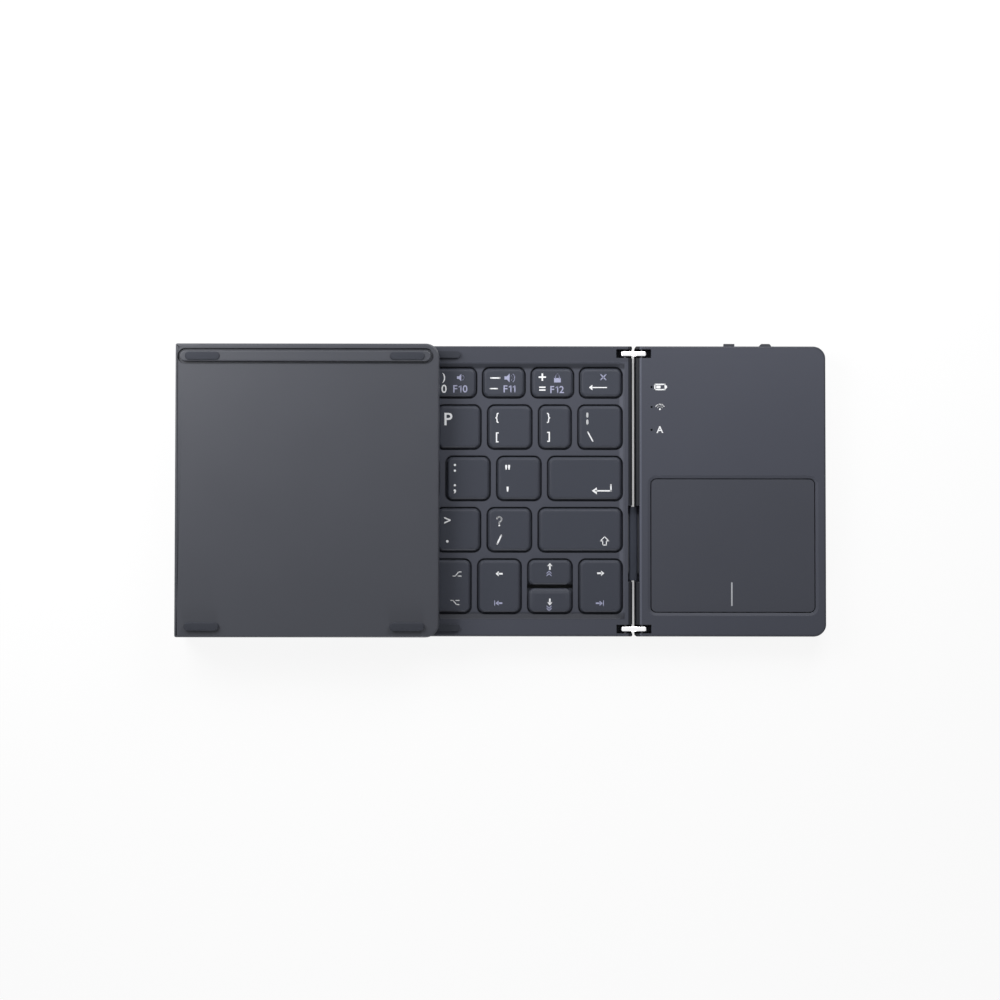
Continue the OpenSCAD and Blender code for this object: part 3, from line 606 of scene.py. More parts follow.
@dataclass
class Layout:
    """Sizes of the panels and their key rows, in millimetres, and their places."""

    depth: float = 98.0
    middle_w: float = 153.0
    left_w: float = 88.0
    right_w: float = 64.3
    corner_r: float = 4.5
    hinge_corner_r: float = 0.6
    key_margin: float = 3.5
    key_clear: float = 0.7
    key_r: float = 2.3
    number_key: float = 14.25
    letter_key: float = 14.8
    narrow_key: float = 10.9
    enter_key: float = 25.0
    shift_key: float = 28.2
    arrow_key: float = 14.5
    first_row: float = 7.35
    number_row: float = 10.1
    letter_row: float = 14.8
    space_row: float = 18.2
    row_gap: float = 2.55
    col_gap: float = 2.4
    number_gap: float = 2.15
    panel_y: float = field(init=False)
    middle_x: float = field(init=False)
    z_top: float = field(init=False)
    z_split: float = field(init=False)
    foot_h: float = field(init=False)
    bar_h: float = 0.8
    pivot_in: float = 2.3
    pivot_down: float = 2.2
    fold_height: float = field(init=False)

    def __post_init__(self) -> None:
        """Reads the panels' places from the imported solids."""
        low, high = (np.array(corner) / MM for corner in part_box("middle_top_frame"))
        self.panel_y = (low[1] + high[1]) / 2
        self.middle_x = low[0]
        self.z_split, self.z_top = low[2], high[2]
        self.foot_h = round(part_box("middle_bottom_case")[0].z / MM + self.bar_h, 4)
        self.fold_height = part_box("left_top_frame")[0].z / MM + self.z_top

    @property
    def z_pivot(self) -> float:
        """Height of the middle panel's pivots."""
        return self.z_top - self.pivot_down

    @property
    def right_x(self) -> float:
        """Hinge end of the right wing."""
        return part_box("right_top_cover")[0].x / MM

    def middle(self) -> Placement:
        """Middle panel, x counted leftwards from its right end."""
        return Placement("middle", (self.middle_x + self.middle_w, self.panel_y, 0), -1, 1)

    def left(self) -> Placement:
        """Folded left wing, upside down, x counted from its hinge."""
        return Placement("left_wing", (self.middle_x, self.panel_y, self.fold_height), 1, -1)

    def right(self) -> Placement:
        """Right wing, x counted from its hinge."""
        return Placement("right_wing", (self.right_x, self.panel_y, 0), 1, 1)

    def rows(self, widths: list[list[float]], panel_w: float) -> list[list[tuple]]:
        """Places of keys, row by row.

        Args:
            widths: Widths of each row's keys from the right or hinge end, without
                the last key, which takes what is left.
            panel_w: Width of the panel.

        Returns:
            For each row its keys as (from the end, width, from the rear, depth).
        """
        depths = [self.number_row] + [self.letter_row] * 3 + [self.space_row]
        rear, rows = self.first_row, []
        for index, row in enumerate(widths):
            gap = self.col_gap if index else self.number_gap
            start, keys = self.key_margin, []
            for width in row:
                keys.append((start, width, rear, depths[index]))
                start += width + gap
            keys.append((start, panel_w - self.key_margin - start, rear, depths[index]))
            rows.append(keys)
            rear += depths[index] + self.row_gap
        return rows

    def middle_rows(self) -> list[list[tuple]]:
        """Keys of the middle panel."""
        letter = self.letter_key
        return self.rows([[self.number_key] * 8,
                          [letter, self.narrow_key] + [letter] * 6,
                          [self.enter_key] + [letter] * 6,
                          [self.shift_key] + [letter] * 6,
                          [self.arrow_key, letter] + [self.arrow_key] * 3], self.middle_w)

    def left_rows(self) -> list[list[tuple]]:
        """Keys of the left wing."""
        letter = self.letter_key
        return self.rows([[self.number_key] * 4, [letter] * 4, [letter] * 4, [letter] * 3,
                          [self.shift_key, letter, letter]], self.left_w)


# ---- keys

ROW_NAMES = ("number", "tab", "caps", "shift", "space")


@dataclass
class Keycap:
    """Hollow moulded cap: skirt with its flange and a ledge, soft upper edge, dished top."""

    layout: Layout
    round_mm: float = 0.75
    inset_mm: float = 0.08
    ledge_mm: float = 0.25
    ledge_down_mm: float = 0.95
    shared_mm: float = 0.1
    dish_mm: float = 0.04
    sink_mm: float = 0.1
    flange_mm: float = 0.4
    flange_t_mm: float = 0.4
    skirt_mm: float = 2.4
    wall_mm: float = 0.9
    roof_mm: float = 1.0
    rear_drop_mm: float = 0.45
    dish_rings: tuple[float, ...] = (0.93, 0.8, 0.6, 0.35, 0.12)

    def skin(self, place: tuple, shared: int = 0, rear_slope_mm: float = 0.0) -> Shape:
        """Carries the cap's profile round its outline.

        The top sinks by dish * (1 - s^2) where s runs from 0 at the middle to 1
        at the rounded edge.

        Args:
            place: (from the end, width, from the rear, depth).
            shared: Side without flange, next to another cap: 1 rear, -1 front, 0 none.
            rear_slope_mm: Width of a slope down to the rear edge, or 0.

        Returns:
            The cap's skin in panel coordinates.
        """
        x, width, rear, depth = place
        clear = self.layout.key_clear / 2
        gap = clear + self.inset_mm
        top = self.layout.z_top - self.sink_mm
        foot = top - self.skirt_mm
        y1 = self.layout.depth / 2 - rear
        radius = self.layout.key_r - gap
        front, rear_end = (self.inset_mm + self.shared_mm if shared == side else 0.0
                           for side in (-1, 1))
        outline = Outline((x + gap, y1 - depth + gap - front),
                          (x + width - gap, y1 - gap + rear_end), (radius,) * 4)
        flange = gap + clear + self.flange_mm
        above = foot + self.flange_t_mm
        profile = [(self.wall_mm, top - self.roof_mm), (self.wall_mm, foot), (-flange, foot),
                   (-flange, above), (-self.ledge_mm, above),
                   (-self.ledge_mm, top - self.ledge_down_mm)]
        below = len(profile)
        profile += rounded(0, top, self.round_mm)
        rings = carried(outline, profile)
        if shared:
            edge = shared * (depth / 2 - clear + self.shared_mm)
            offset = (rings[..., 1] - (y1 - depth / 2) - edge) * shared
            rings[..., 1] -= shared * np.clip(offset, 0, None)
        if rear_slope_mm:
            rings = np.concatenate([rings, carried(outline, [(rear_slope_mm, top)])])
            past = np.clip((rings[..., 1] - (y1 - gap - rear_slope_mm)) / rear_slope_mm, 0, 1)
            rings[below:, :, 2] -= past[below:] * self.rear_drop_mm
        rim = rings[-1]
        centre = rim.mean(axis=0)
        share = np.array(self.dish_rings)[:, None, None]
        inner = centre + (rim - centre) * share
        inner[..., 2] = top - self.dish_mm * (1 - share[..., 0] ** 2)
        return skin(np.concatenate([rings, inner]))


@dataclass
class KeyField:
    """All keys of one panel: single keys with a node each, and rows that share one."""

    layout: Layout
    finishes: Finishes
    placement: Placement
    rows: list[list[tuple]]
    singles: dict[tuple[int, int], str]
    panel: str
    arrow_key: tuple[int, int] | None = None
    arrow_slope_mm: float = 1.7

    def groups(self) -> dict[str, list[tuple]]:
        """Lists the keys of each node.

        Returns:
            Places by node name.
        """
        found: dict[str, list[tuple]] = {}
        for r, row in enumerate(self.rows):
            for i, place in enumerate(row):
                if (r, i) == self.arrow_key:
                    gap = self.layout.key_clear
                    x, width, rear, depth = place
                    half = (depth - gap) / 2
                    found["key_up"] = [(x, width, rear, half)]
                    found["key_down"] = [(x, width, rear + half + gap, half)]
                    continue
                node = self.singles.get((r, i), f"{self.panel}_keys_{ROW_NAMES[r]}_row")
                found.setdefault(node, []).append(place)
        return found

    def build(self) -> None:
        """Makes the caps of every node and sets them in the nodes' places."""
        cap = Keycap(self.layout)
        for node, places in self.groups().items():
            slope = self.arrow_slope_mm if node == "key_down" else 0.0
            shared = {"key_up": -1, "key_down": 1}.get(node, 0)
            parts = [self.placement.put(*cap.skin(place, shared, slope)) for place in places]
            piece = make_piece(f"cap_{node}", *joined(parts))
            self.finishes.dress(piece, Palette.KEYCAP)
            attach(piece, node)
            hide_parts(node)
            LOG.info("%s: %d caps", node, len(places))


# ---- printed marks

def prism(points: np.ndarray, faces: list, low: float, high: float) -> Shape:
    """Raises a flat shape to a closed prism.

    An edge that only one face uses lies on the rim, and gets a side wall.

    Args:
        points: Flat points (x, y), no two alike.
        faces: Faces against the clock.
        low: Height of the underside.
        high: Height of the top.

    Returns:
        The prism.
    """
    count = len(points)
    edges = {(face[i - 1], face[i]) for face in faces for i in range(len(face))}
    walls = [(a, b, b + count, a + count) for a, b in sorted(edges) if (b, a) not in edges]
    solid = [tuple(reversed(face)) for face in faces]
    solid += [tuple(i + count for i in face) for face in faces] + walls
    heights = np.repeat([low, high], count)[:, None]
    return np.concatenate([np.tile(points, (2, 1)), heights], axis=1), solid


def disc(centre: XY, radius: float, sides: int = 12) -> Shape:
    """Flat round patch."""
    turn = np.linspace(0, 2 * math.pi, sides, endpoint=False)
    ring = np.stack([np.cos(turn), np.sin(turn)], axis=1) * radius + np.array(centre)
    return ring, [tuple(range(sides))]


def stroke(path: list[XY], width: float) -> list[Shape]:
    """Line of even width with round ends and joints.

    Args:
        path: Points along the line.
        width: Its width.

    Returns:
        Flat patches that overlap to make the line.
    """
    patches = [disc(point, width / 2) for point in path]
    for start, end in zip(np.array(path[:-1]), np.array(path[1:])):
        along = (end - start) / np.linalg.norm(end - start)
        side = np.array([-along[1], along[0]]) * width / 2
        patches.append((np.array([start - side, end - side, end + side, start + side]),
                        [(0, 1, 2, 3)]))
    return patches


def arc(centre: XY, radius: float, low: float, high: float, steps: int = 7) -> list[XY]:
    """Points on an arc between two angles in degrees."""
    turn = np.radians(np.linspace(low, high, steps))
    return [(centre[0] + radius * math.cos(t), centre[1] + radius * math.sin(t)) for t in turn]


def patch(*corners: XY) -> list[Shape]:
    """One flat patch with these corners, against the clock."""
    return [(np.array(corners), [tuple(range(len(corners)))])]


def box(x0: float, y0: float, x1: float, y1: float) -> list[Shape]:
    """One flat rectangle between two corners."""
    return patch((x0, y0), (x1, y0), (x1, y1), (x0, y1))


class Marks:
    """Flat shapes of the printed marks, in units of a mark's height, about the origin."""

    bold: float = 0.012
    apart: float = 0.17
    curve_steps: int = 3

    def __init__(self) -> None:
        """Draws the pictograms; letters are made when they are asked for."""
        head = patch((-0.5, 0), (-0.05, -0.37), (-0.05, 0.37))
        left = head + box(-0.15, -0.12, 0.5, 0.12)
        right = self.turned(left, 180)
        speaker = patch((-0.5, -0.18), (-0.22, -0.18), (0.08, -0.5), (0.08, 0.5),
                        (-0.22, 0.18), (-0.5, 0.18))
        chevrons = stroke([(-0.4, -0.4), (0, 0), (0.4, -0.4)], 0.16)
        chevrons += stroke([(-0.4, 0.02), (0, 0.42), (0.4, 0.02)], 0.16)
        self.drawn: dict[str, list[Shape]] = {
            "left": left,
            "right": right,
            "up": self.turned(left, -90),
            "down": self.turned(left, 90),
            "long_left": patch((-1.6, 0), (-1.0, -0.5), (-1.0, 0.5)) + box(-1.1, -0.09, 1.6, 0.09),
            "speaker": speaker + stroke(arc((0.05, 0), 0.4, -50, 50), 0.11),
            "speaker_waves": speaker + stroke(arc((0.05, 0), 0.34, -45, 45), 0.1)
            + stroke(arc((0.05, 0), 0.6, -45, 45), 0.1),
            "lock": box(-0.38, -0.5, 0.38, 0.0)
            + stroke([(-0.22, 0.0)] + arc((0, 0.2), 0.22, 180, 0) + [(0.22, 0.0)], 0.11),
            "bar": stroke([(-3.0, 0), (3.0, 0)], 1.0),
            "divider": box(-0.03, -0.5, 0.03, 0.5),
            "broken_bar": stroke([(0, 0.17), (0, 0.42)], 0.17)
            + stroke([(0, -0.17), (0, -0.42)], 0.17),
            "\\": stroke([(-0.24, 0.44), (0.24, -0.44)], 0.12),
            "/": stroke([(-0.2, -0.43), (0.2, 0.43)], 0.15),
            "?": stroke(arc((0, 0.2), 0.25, 165, -45) + [(0.02, -0.08), (0, -0.2)], 0.14)
            + [disc((0, -0.43), 0.09)],
            "1": stroke([(-0.2, 0.26), (0.04, 0.43), (0.04, -0.43)], 0.15),
            "hook": stroke([(0.9, 0.45), (0.9, -0.15), (-0.6, -0.15)], 0.14)
            + patch((-1.0, -0.15), (-0.5, -0.5), (-0.5, 0.2)),
            "shift": stroke([(-0.2, -0.45), (-0.2, 0.0), (-0.45, 0.0), (0, 0.45), (0.45, 0.0),
                             (0.2, 0.0), (0.2, -0.45), (-0.2, -0.45)], 0.1),
            "alternative": self.branches(1),
            "option": self.branches(-1),
            "to_start": left + stroke([(-0.62, -0.36), (-0.62, 0.36)], 0.12),
            "to_end": right + stroke([(0.62, -0.36), (0.62, 0.36)], 0.12),
            "page_up": chevrons,
            "page_down": self.turned(chevrons, 180),
            "cross": stroke([(-0.4, -0.4), (0.4, 0.4)], 0.18)
            + stroke([(-0.4, 0.4), (0.4, -0.4)], 0.18),
            "battery": stroke([(-0.9, -0.42), (0.75, -0.42), (0.75, 0.42), (-0.9, 0.42),
                               (-0.9, -0.42)], 0.2)
            + box(0.85, -0.22, 1.05, 0.22) + box(-0.68, -0.22, 0.0, 0.22),
            "radio": [disc((0, -0.3), 0.13)] + stroke(arc((0, -0.3), 0.38, 35, 145), 0.13)
            + stroke(arc((0, -0.3), 0.7, 35, 145), 0.15),
        }

    @staticmethod
    def branches(rise: int) -> list[Shape]:
        """A line that steps up (1) or down (-1), and a short one across from its end."""
        low, high = -0.35 * rise, 0.35 * rise
        return stroke([(-0.7, low), (-0.3, low), (0.25, high), (0.7, high)], 0.14) \
            + stroke([(0.15, low), (0.7, low)], 0.14)

    @staticmethod
    def turned(shapes: list[Shape], degrees: float) -> list[Shape]:
        """Turns flat shapes about the origin, against the clock."""
        c, s = math.cos(math.radians(degrees)), math.sin(math.radians(degrees))
        turn = np.array([[c, s], [-s, c]])
        return [(np.asarray(points) @ turn, faces) for points, faces in shapes]

    def letter(self, text: str) -> list[Shape]:
        """Flat mesh of a character, scaled to a height of one unit.

        Args:
            text: The characters.

        Returns:
            The shape, centred.
        """
        curve = bpy.data.curves.new("mark", "FONT")
        curve.body = text
        curve.resolution_u = self.curve_steps
        curve.offset = self.bold
        carrier = linked("mark", curve)
        bpy.context.view_layer.update()
        ready = carrier.evaluated_get(bpy.context.evaluated_depsgraph_get())
        mesh = ready.to_mesh()
        found = np.zeros(len(mesh.vertices) * 3)
        mesh.vertices.foreach_get("co", found)
        flat = found.reshape(-1, 3)[:, :2]
        faces = [tuple(p.vertices) for p in mesh.polygons]
        ready.to_mesh_clear()
        bpy.data.objects.remove(carrier)
        bpy.data.curves.remove(curve)
        points, index = np.unique(flat.round(5), axis=0, return_inverse=True)
        index = index.reshape(-1)
        faces = [tuple(dict.fromkeys(index[list(face)].tolist())) for face in faces]
        faces = [self.against_clock(points, face) for face in faces if len(face) > 2]
        low, high = points.min(axis=0), points.max(axis=0)
        return [((points - (low + high) / 2) / (high[1] - low[1]), faces)]

    @staticmethod
    def against_clock(points: np.ndarray, face: tuple[int, ...]) -> tuple[int, ...]:
        """Turns a face over where it runs with the clock."""
        x, y = points[list(face)].T
        area = (x * np.roll(y, -1) - np.roll(x, -1) * y).sum()
        return face if area > 0 else tuple(reversed(face))

    def label(self, text: str) -> list[Shape]:
        """Sets characters side by side, centred, each one unit high."""
        placed, start = [], 0.0
        for glyph in (self.get(char) for char in text):
            across = np.concatenate([points[:, 0] for points, _ in glyph])
            shift = np.array([start - across.min(), 0.0])
            placed += [(points + shift, faces) for points, faces in glyph]
            start += np.ptp(across) + self.apart
        middle = np.array([(start - self.apart) / 2, 0.0])
        return [(points - middle, faces) for points, faces in placed]

    def get(self, name: str) -> list[Shape]:
        """Finds a pictogram, or makes the letters; a letter and number stand side by side."""
        if name not in self.drawn:
            spaced = len(name) > 1 and name[1:].isdigit()
            self.drawn[name] = self.label(name) if spaced else self.letter(name)
        return self.drawn[name]


@dataclass(frozen=True)
class Mark:
    """One printed mark: what, how far from the panel's end and rear edge, and its height."""

    what: str
    end: float
    rear: float
    height: float
    ink: Palette = Palette.INK


@dataclass
class Printer:
    """Prints marks on a panel as thin closed solids."""

    layout: Layout
    finishes: Finishes
    marks: Marks
    placement: Placement
    leftward: bool
    surface: float
    proud: float = 0.012
    sunk: float = 0.09

    def solid(self, mark: Mark) -> Shape:
        """Shape of one mark in the panel's coordinates."""
        parts = []
        sign = -1 if self.leftward else 1
        centre = np.array([mark.end, self.layout.depth / 2 - mark.rear])
        for points, faces in self.marks.get(mark.what):
            flat = np.asarray(points) * np.array([sign, 1]) * mark.height + centre
            if self.leftward:
                faces = [tuple(reversed(face)) for face in faces]
            parts.append(prism(flat, faces, self.surface - self.sunk, self.surface + self.proud))
        return joined(parts)

    def show(self, body: str, marks: list[Mark]) -> None:
        """Prints marks that ride on a body, one piece for each ink.

        Args:
            body: The body.
            marks: The marks.
        """
        for ink in sorted({mark.ink for mark in marks}, key=lambda i: i.name):
            solids = [self.solid(mark) for mark in marks if mark.ink is ink]
            vertices, faces = self.placement.put(*joined(solids))
            piece = make_piece(f"print_{body}_{ink.name.lower()}", vertices, faces, smooth=False)
            self.finishes.dress(piece, ink)
            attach(piece, body)
            LOG.info("%s: %d marks", piece.name, len(solids))


LILAC = Palette.LILAC_INK

# Marks of the keys in view, as the fields of Mark
KEY_MARKS: dict[str, list[tuple]] = {
    "key_zero": [(")", 63.7, 10.8, 3.3), ("0", 63.6, 14.5, 2.8),
                 ("speaker", 58.0, 10.7, 2.5, LILAC), ("F10", 58.1, 14.5, 2.5, LILAC)],
    "key_minus": [("bar", 46.3, 10.8, 0.5), ("bar", 46.8, 14.4, 0.4),
                  ("speaker_waves", 41.7, 10.8, 3.0, LILAC),
                  ("F11", 41.5, 14.5, 2.4, LILAC)],
    "key_equals": [("+", 30.4, 10.5, 2.5), ("=", 30.4, 14.4, 1.4),
                   ("lock", 25.3, 10.8, 3.0, LILAC), ("F12", 25.4, 14.7, 2.4, LILAC)],
    "key_delete": [("cross", 9.8, 10.5, 2.2, LILAC), ("long_left", 11.6, 14.0, 1.9)],
    "key_p": [("P", 62.1, 24.7, 4.2)],
    "key_bracket_left": [("{", 45.7, 24.3, 3.4), ("[", 45.6, 30.9, 3.4)],
    "key_bracket_right": [("}", 28.3, 24.3, 3.4), ("]", 28.3, 30.7, 3.4)],
    "key_backslash": [("broken_bar", 15.2, 24.5, 4.0), ("\\", 14.2, 30.6, 3.5)],
    "key_semicolon": [(":", 59.9, 41.2, 2.7), (";", 59.9, 48.3, 3.2)],
    "key_quote": [("\"", 42.1, 41.0, 1.6), ("'", 42.1, 48.4, 1.7)],
    "key_enter": [("hook", 10.3, 48.4, 3.4)],
    "key_period": [(">", 62.4, 58.9, 2.3), (".", 62.4, 66.0, 0.9)],
    "key_slash": [("?", 44.9, 59.2, 3.3), ("/", 44.9, 65.4, 3.4)],
    "key_shift": [("shift", 9.4, 65.8, 3.1)],
    "key_alt": [("alternative", 59.1, 77.0, 2.0), ("option", 59.8, 86.6, 2.0)],
    "key_home": [("left", 44.95, 76.9, 2.4), ("to_start", 45.0, 86.8, 2.3, LILAC)],
    "key_up": [("up", 27.85, 74.4, 2.3), ("page_up", 28.1, 76.8, 1.9, LILAC)],
    "key_down": [("down", 27.85, 86.4, 2.3), ("page_down", 28.1, 88.5, 1.9, LILAC)],
    "key_end": [("right", 10.7, 76.7, 2.4), ("to_end", 11.2, 86.8, 2.3, LILAC)],
}

# What stands on the keys that the folded wing hides, from the right of each row
MIDDLE_ROW_MARKS = [list("98765"), list("OIUYT"), list("LKJHG"), [",", "M", "N", "B", "V"],
                    ["option", ""]]
LEFT_ROW_MARKS = [list("4321") + ["cross"], list("REWQ") + ["to_end"], list("FDSA") + ["lock"],
                  list("CXZ") + ["shift"], ["", "option", "to_start", "radio"]]
SHIFTED = dict(zip("987654321,", "(*&^%$#@!<"))


@dataclass(frozen=True)
class RowMarks:
    """Where the marks of a row of like keys stand, from each key's upper left corner."""

    sign: XYZ = (3.9, 3.5, 2.6)
    digit_down: float = 3.6
    digit_h: float = 2.8
    comma_down: float = 7.1
    comma_h: float = 1.4
    upper_left: XY = (4.6, 4.7)
    letter_h: float = 4.2
    pictogram_h: float = 2.6
    function: XYZ = (9.2, 7.1, 2.4)

    def marks(self, texts: list[str], places: list[tuple]) -> list[Mark]:
        """Lists the marks: a digit below its shifted sign, a letter at the upper left.

        Args:
            texts: What stands on each key.
            places: The keys' places.

        Returns:
            The marks.
        """
        marks = []
        for text, (start, width, rear, _) in zip(texts, places):
            left, digit = start + width, text.isdigit()
            if text in SHIFTED:
                right, down, height = self.sign
                step, own = (self.digit_down, self.digit_h) if digit \
                    else (self.comma_down, self.comma_h)
                marks.append(Mark(SHIFTED[text], left - right, rear + down, height))
                marks.append(Mark(text, left - right, rear + down + step, own))
            elif text:
                right, down = self.upper_left
                height = self.letter_h if len(text) == 1 else self.pictogram_h
                marks.append(Mark(text, left - right, rear + down, height))
            if digit:
                right, down, height = self.function
                marks.append(Mark(f"F{text}", left - right, rear + down, height, LILAC))
        return marks


@dataclass
class Link:
    """Hinge link: a bar with rounded corners and two pin holes, its long edges softened."""

    length: float = 5.6
    radius: float = 1.75
    corner: float = 1.05
    width: float = 1.8
    hole: float = 0.64
    soft: float = 0.4
    end_steps: int = 26
    run_steps: int = 8
    rise_steps: int = 10
    soft_steps: int = 7
    most_taper: float = 0.98

    def loop(self, draw: float) -> np.ndarray:
        """Side outline of the link's half around its first pivot.

        Its end is two quarter rounds of the corner's radius, with a flat between.

        Args:
            draw: How far the outline is drawn in.

        Returns:
            Its points, with the clock from the top of the end.
        """
        radius, mid = self.radius - draw, self.length / 2
        turn = np.linspace(math.pi / 2, 1.5 * math.pi, self.end_steps)
        flat = self.radius - self.corner
        centres = np.stack([np.full(len(turn), -flat), np.where(turn <= math.pi, flat, -flat)],
                           axis=1)
        run = np.linspace(0, mid, self.run_steps)[1:]
        rise = np.linspace(-radius, radius, self.rise_steps)[1:]
        arc_points = np.stack([np.cos(turn), np.sin(turn)], axis=1) * (self.corner - draw) + centres
        under = np.stack([run, np.full(len(run), -radius)], axis=1)
        middle = np.stack([np.full(len(rise), mid), rise], axis=1)
        over = np.stack([run[-2::-1], np.full(len(run) - 1, radius)], axis=1)
        return np.concatenate([arc_points, under, middle, over])

    def half(self) -> Shape:
        """Half link, as rings that run from the hole round the outside and back.

        Near its end the width falls off as sqrt(1 - t^2), which rounds it in plan.

        Returns:
            Its skin, in coordinates from the first pivot.
        """
        side = self.width / 2
        outer = self.loop(0)
        hole = outer / np.linalg.norm(outer, axis=1)[:, None] * self.hole
        edge = [(self.soft * (1 - math.sin(a)), side - self.soft * (1 - math.cos(a)))
                for a in np.linspace(0, math.pi / 2, self.soft_steps)]
        steps = [(hole, -side)] + [(self.loop(draw), -y) for draw, y in edge]
        steps += [(self.loop(draw), y) for draw, y in reversed(edge)] + [(hole, side)]
        rings = np.array([np.insert(plan, 1, y, axis=1) for plan, y in steps])
        past = np.clip((side - self.radius - rings[..., 0]) / side, 0, self.most_taper)
        rings[..., 1] *= np.sqrt(1 - past ** 2)
        count, size, _ = rings.shape
        first, second = np.arange(size), np.roll(np.arange(size), -1)
        here = (np.arange(count) * size)[:, None]
        there = (np.roll(np.arange(count), -1) * size)[:, None]
        quads = np.stack([here + second, here + first, there + first, there + second], axis=-1)
        return rings.reshape(-1, 3), [tuple(q) for q in quads.reshape(-1, 4).tolist()]

    def whole(self) -> Shape:
        """Both halves."""
        points, faces = self.half()
        mirrored = points * np.array([-1, 1, 1]) + np.array([self.length, 0, 0])
        return joined([(points, faces), (mirrored, [tuple(reversed(f)) for f in faces])])


@dataclass
class HingeLinks:
    """The two links of one hinge."""

    layout: Layout
    finishes: Finishes
    body: str
    pivot: XY
    upright: bool
    apart: float = 46.5

    def build(self) -> None:
        """Makes both links; those of a folded hinge stand upright, with x and z swapped."""
        points, faces = Link().whole()
        if self.upright:
            points, faces = points[:, [2, 1, 0]], [tuple(reversed(face)) for face in faces]
        x, z = self.pivot
        pair = [(points + np.array([x, self.layout.panel_y + side * self.apart, z]), faces)
                for side in (-1, 1)]
        vertices, faces = joined(pair)
        piece = make_piece(f"{self.body}s", vertices * MM, faces)
        self.finishes.dress(piece, Palette.LINK)
        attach(piece, self.body)
        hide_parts(self.body.replace("link", "hinge_links"))
        LOG.info("%s: 2 links", self.body)


# ---- undersides

@dataclass
class Underside:
    """Bottom tray of a panel, with its rear bar and rubber feet.

    Insets of the bar and the feet are from the panel's edges to their middles.
    """

    layout: Layout
    finishes: Finishes
    placement: Placement
    name: str
    width: float
    free_end: bool
    bar_w: float = 3.5
    bar_inset: float = 4.25
    bar_hinge_end: float = 1.6
    bar_free_end: float = 2.75
    rear_foot_h: float = 0.4
    foot_l: float = 11.6
    foot_w: float = 2.75
    foot_inset: float = 3.6
    foot_hinge_end: float = 3.3
    foot_free_end: float = 4.8
    edge_round: float = 0.6
    bar_round: float = 0.3
    foot_round: float = 0.35
    foot_corner: float = 0.95
    groove_w: float = 0.8
    groove_depth: float = 0.7
    lip: float = 0.12
    flat_edge: float = 0.3

    def tray(self) -> Shape:
        """Outside of the tray: from the raised bar through the groove round it to the parting line.

        The bar's outline and the tray's have as many points, so one run of rings
        joins them across the flat bottom.

        Returns:
            Its skin in panel coordinates.
        """
        lay = self.layout
        far = lay.corner_r if self.free_end else lay.hinge_corner_r
        tray = Outline((0, -lay.depth / 2), (self.width, lay.depth / 2),
                       (lay.hinge_corner_r, far, far, lay.hinge_corner_r))
        x1 = self.width - (self.bar_free_end if self.free_end else self.bar_hinge_end)
        y, r = lay.depth / 2 - self.bar_inset, self.bar_w / 2
        bar = Outline((self.bar_hinge_end, y - r), (x1, y + r), (r,) * 4)
        soft, level, out = self.bar_round, lay.foot_h, self.groove_w
        rise = [(soft + self.flat_edge, self.rear_foot_h),
                *rounded(0, self.rear_foot_h, soft, foot=True)]
        groove = [(0, level + self.groove_depth), (-out, level + self.groove_depth),
                  (-out, level + self.lip), (-out - self.lip, level)]
        edge = [(self.edge_round + self.flat_edge, level),
                *rounded(0, level, self.edge_round, foot=True)]
        return skin(np.concatenate([carried(bar, rise + groove),
                                    carried(tray, edge + [(0, lay.z_split)])]))

    def foot(self, x: float, y: float, height: float) -> Shape:
        """Rubber foot with a rounded wearing edge.

        Args:
            x: Its low end.
            y: Its middle, front to rear.
            height: From the desk to what it is stuck to.

        Returns:
            Its skin.
        """
        half = self.foot_w / 2
        outline = Outline((x, y - half), (x + self.foot_l, y + half),
                          (half * self.foot_corner,) * 4)
        edge = rounded(0, 0, self.foot_round, foot=True)
        return skin(carried(outline, edge + [(0, height)]))

    def feet(self) -> Shape:
        """All four feet."""
        lay = self.layout
        far = self.width - (self.foot_free_end if self.free_end else self.foot_hinge_end)
        parts = []
        for x in (self.foot_hinge_end, far - self.foot_l):
            parts.append(self.foot(x, lay.depth / 2 - self.bar_inset, self.rear_foot_h))
            parts.append(self.foot(x, self.foot_inset - lay.depth / 2, lay.foot_h))
        return joined(parts)

    def build(self) -> None:
        """Makes the tray with its bar, and the feet, in the nodes' places."""
        body = self.placement.body
        shell = make_piece(f"{self.name}_underside", *self.placement.put(*self.tray()))
        self.finishes.dress(shell, Palette.UNDERSIDE)
        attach(shell, body)
        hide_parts(f"{self.name}_bottom_case")
        feet = make_piece(f"{self.name}_rubber_feet", *self.placement.put(*self.feet()))
        self.finishes.dress(feet, Palette.RUBBER)
        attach(feet, body)
        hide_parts(f"{self.name}_feet")
        LOG.info("%s underside and feet", self.name)


# ---- carried-over solids

# Solids that are shown as they are; a piece of this file replaces every other one
SHOWN: dict[Palette, str] = {
    Palette.TOP_SHELL: "middle_top_frame left_top_frame right_top_cover",
    Palette.PLATE: "middle_support_plate left_support_plate",
    Palette.FILM: "middle_membrane left_membrane",
    Palette.WELL: "middle_domes left_domes",
    Palette.RUBBER: "middle_bumpers",
    Palette.PIN: "middle_hinge_pins left_hinge_pins right_hinge_pins",
    Palette.BRIDGE: "left_cable_bridge right_cable_bridge",
    Palette.FLEX: "left_flex_cable right_flex_cable",
    Palette.BOARD: "main_board",
    Palette.FOIL: "battery",
    Palette.SOCKET: "charge_socket",
    Palette.TOUCHPAD: "touchpad",
    Palette.KNOB: "power_slider pairing_button",
}


# ---- stage

